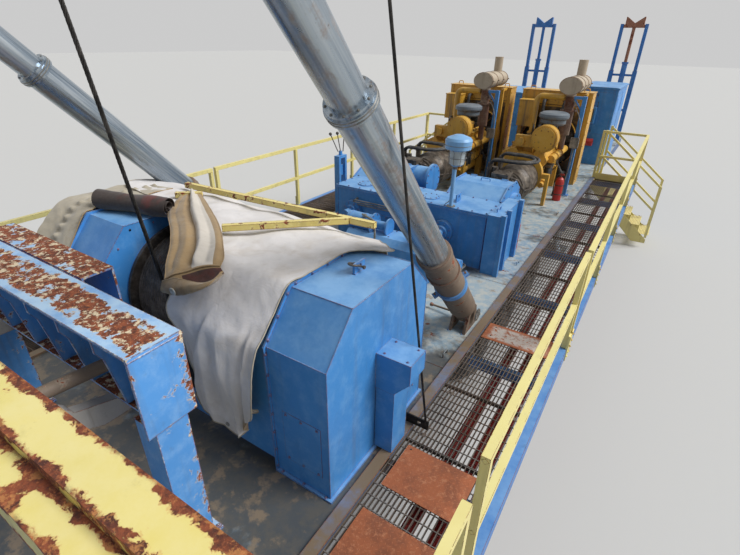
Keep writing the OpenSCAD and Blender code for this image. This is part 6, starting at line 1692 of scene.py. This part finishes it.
def beams():
    """Weld beads, pads and bolts on the beams at the well end, and on their posts."""
    blue = Shape()
    for x in (-1.15, 1.15):
        blue.weld((x, 0.77, 1.5), (x, 1.06, 1.5))
    blue.weld((-1.15, 1.061, 1.503), (1.15, 1.061, 1.503))
    blue.weld((-1.15, 1.089, 1.488), (0.18, 1.089, 1.488), 0.004)
    for s in (-1, 1):
        for y in (0.8, 1.03):
            blue.bolts((s * 0.93, y, 0.016), (s * 1.15, y, 0.016), 0.22, UP, 0.014)
        for x, (z, r) in product((s * 0.95, s * 1.13), ((1.018, 0.006), (0.018, 0.007))):
            blue.weld((x, 0.82, z), (x, 1.01, z), r)
    piece("beam_fittings", blue, "frame_blue", looks=["beam_blue"])
    pins = Shape()
    for x in (-0.76, 0.66):
        pins.turned([(0.04, -0.03), (0.04, 0.1), (0.055, 0.1), (0.055, 0.115)], (x, 0.56, 1.055), RIGHT, 28)
        pins.rod([(x - 0.018, 0.56, 1.02), (x - 0.018, 0.56, 1.11), (x - 0.018, 0.6, 1.12)], 0.02, 0.005, 6)
    piece("lug_pins", pins, "grey_metal", looks=["dark_steel"])
    # Brown pipe that runs in under the near beam beside the lug
    tube = Shape()
    tube.turned([(0.03, 0.0), (0.038, 0.0), (0.038, 0.74), (0.03, 0.74)], (0.58, 0.36, 1.2), (0.14, 1, 0), 20)
    tube.box((0.6, 0.69), (0.46, 0.52), (1.09, 1.2))
    piece("lug_pipe", tube, "grey_metal", looks=["barrel_brown"])


LEG_X = 1.3
LEG_HALF = 0.1


def mast():
    """Bolted joints, pin keepers and rope clips on the mast, its base and its crown."""
    blue, steel = Shape(), Shape()
    low, high = LEG_X - LEG_HALF, LEG_X + LEG_HALF
    for i in range(6):
        z = 3.0 + (i + 1) * 2.4
        for y in (-0.15, -1.25):
            for d, (x, out) in product((-0.14, -0.05), ((high, RIGHT), (low, LEFT))):
                blue.bolts((x, y - 0.06, z + d), (x, y + 0.06, z + d), 0.06, out, 0.012)
            blue.box((low - 0.006, high + 0.006), (y - LEG_HALF - 0.006, y + LEG_HALF + 0.006),
                     (z - 0.2, z - 0.18))
        for s, y in product((-1, 1), (-0.34, -1.06)):
            x = LEG_X + s * 0.01
            blue.bolts((x, y, z - 0.15), (x, y, z - 0.03), 0.06, (s, 0, 0), 0.01)
    foot = 0.178 - DECK_Z
    for s in (-1, 1):
        blue.weld((LEG_X + s * 0.125, -0.3, 2.958), (LEG_X + s * 0.125, -0.05, 2.958), 0.007)
        steel.turned([(0.065, -0.001), (0.065, 0.014)], (LEG_X + s * 0.145, -0.15, 3.13), (s, 0, 0), 24)
        steel.ring_of_bolts((LEG_X + s * 0.159, -0.15, 3.13), (s, 0, 0), 0.045, 3, 0.008)
        blue.weld((LEG_X + s * 0.18, -1.4, foot), (LEG_X + s * 0.18, -1.1, foot), 0.008)
    for y in (-1.38, -1.12):
        blue.bolts((LEG_X - 0.15, y, foot - 0.002), (LEG_X + 0.15, y, foot - 0.002), 0.15, UP, 0.016)
    blue.pair()
    for y in (-1.2, -0.2):
        blue.bolts((-1.35, y, 17.58), (1.35, y, 17.58), 0.3, UP, 0.014)
    piece("mast_fixings", blue, "frame_blue", looks=["mast_blue"])
    # Rope clips on the dead line above its anchor
    y = DEAD_END[1]
    for z in (1.62, 1.78, 1.94):
        for dx in (-0.022, 0.022):
            steel.turned([(0.006, -0.03), (0.006, 0.035), (0.011, 0.035), (0.011, 0.045)],
                         (-1.147 + dx, y, z),
                         TOW, 6)
        steel.box((-1.178, -1.116), (y - 0.03, y - 0.016), (z - 0.014, z + 0.014))
    steel.pair()
    for x, out in ((-0.547, LEFT), (0.443, RIGHT)):
        steel.turned([(0.09, -0.001), (0.09, 0.04), (0.07, 0.05)], (x, SHEAVE_Y, SHEAVE_Z), out, 24)
    piece("mast_pins", steel, "grey_metal", looks=["dark_steel"])


def lamp_and_levers():
    """The lamp's cage and clamp, the levers on the column, and the extinguishers' hoses, bands and gauges."""
    cage = Shape()
    at = Vector((0.72, 5.56, CASE_H + 0.56))
    for out in circle((0, 0, 0), 1, 8)[:-1]:
        cage.tube([at + out * r + Vector((0, 0, z)) for r, z in ((0.075, 0.002), (0.11, 0.03), (0.118, 0.18),
                                                                (0.165, 0.212))], 0.004, 6)
    for r, z in ((0.117, 0.1), (0.168, 0.262)):
        cage.tube(circle(at + Vector((0, 0, z)), r, 32), 0.004, 6, ends=False)
    cage.turned([(0.036, -0.03), (0.036, 0.0)], at - Vector((0.02, 0, 0.02)), UP, 16)
    cage.turned([(0.06, 0.0), (0.06, 0.012)], (0.7, 5.56, CASE_H), UP)
    cage.ring_of_bolts((0.7, 5.56, CASE_H + 0.012), UP, 0.046, 4, 0.006)
    cage.rod([at + Vector((-0.05, 0.03, -0.01)), at + Vector((-0.06, 0.05, -0.3)), (0.66, 5.6, CASE_H + 0.05),
              (0.6, 5.6, CASE_H + 0.004)], 0.05, 0.006)
    piece("lamp_cage", cage, "grey_metal")
    levers = Shape()
    for k in range(3):
        x = -1.63 + 0.03 * k
        top = Vector((x - 0.02 + 0.02 * k, 6.0 + 0.12 * k, 1.42))
        levers.tube([(x, 6.17 + 0.03 * k, 1.12), top], 0.008, 8)
        levers.turned([(0.012, -0.02), (0.024, -0.006), (0.026, 0.008), (0.016, 0.026),
                       (0.004, 0.03)], top, UP, 16)
    piece("levers", levers, "dark_steel")
    hoses = Shape()
    for x, y in ((1.37, 6.51), (1.4, 9.37)):
        hoses.rod([(x - 0.012, y, 0.51), (x - 0.07, y, 0.5), (x - 0.1, y, 0.4),
                   (x - 0.09, y, 0.16)], 0.05, 0.009)
        hoses.turned([(0.009, 0), (0.014, 0.03), (0.022, 0.1)], (x - 0.09, y, 0.17), DOWN, 14)
        hoses.bar((x + 0.01, y, 0.548), (x + 0.12, y, 0.575), 0.02, 0.006)
        for z in (0.12, 0.3):
            hoses.turned([(0.0805, 0), (0.083, 0.002), (0.083, 0.018), (0.0805, 0.02)], (x, y, z), UP, 28)
        hoses.turned([(0.016, 0), (0.016, 0.012)], (x, y - 0.022, 0.485), WELL, 16)
    piece("extinguisher_fittings", hoses, "hose_rubber")


camera()
floor()
light()
finish = finishes()
dress_nodes(finish)
for make in (gratings, chequered_plates, wire_ropes, housings, drawworks, main_sheet, flap, left_sheet, roll,
             cylinders, power_case):
    make()
for name, mid in zip(("right", "left"), ENGINE_X):
    engine_details(name, mid)
for make in (radiators, transmissions, cabinets, deck_details, beams, mast, lamp_and_levers):
    make()
bpy.context.scene.view_settings.view_transform = "Standard"
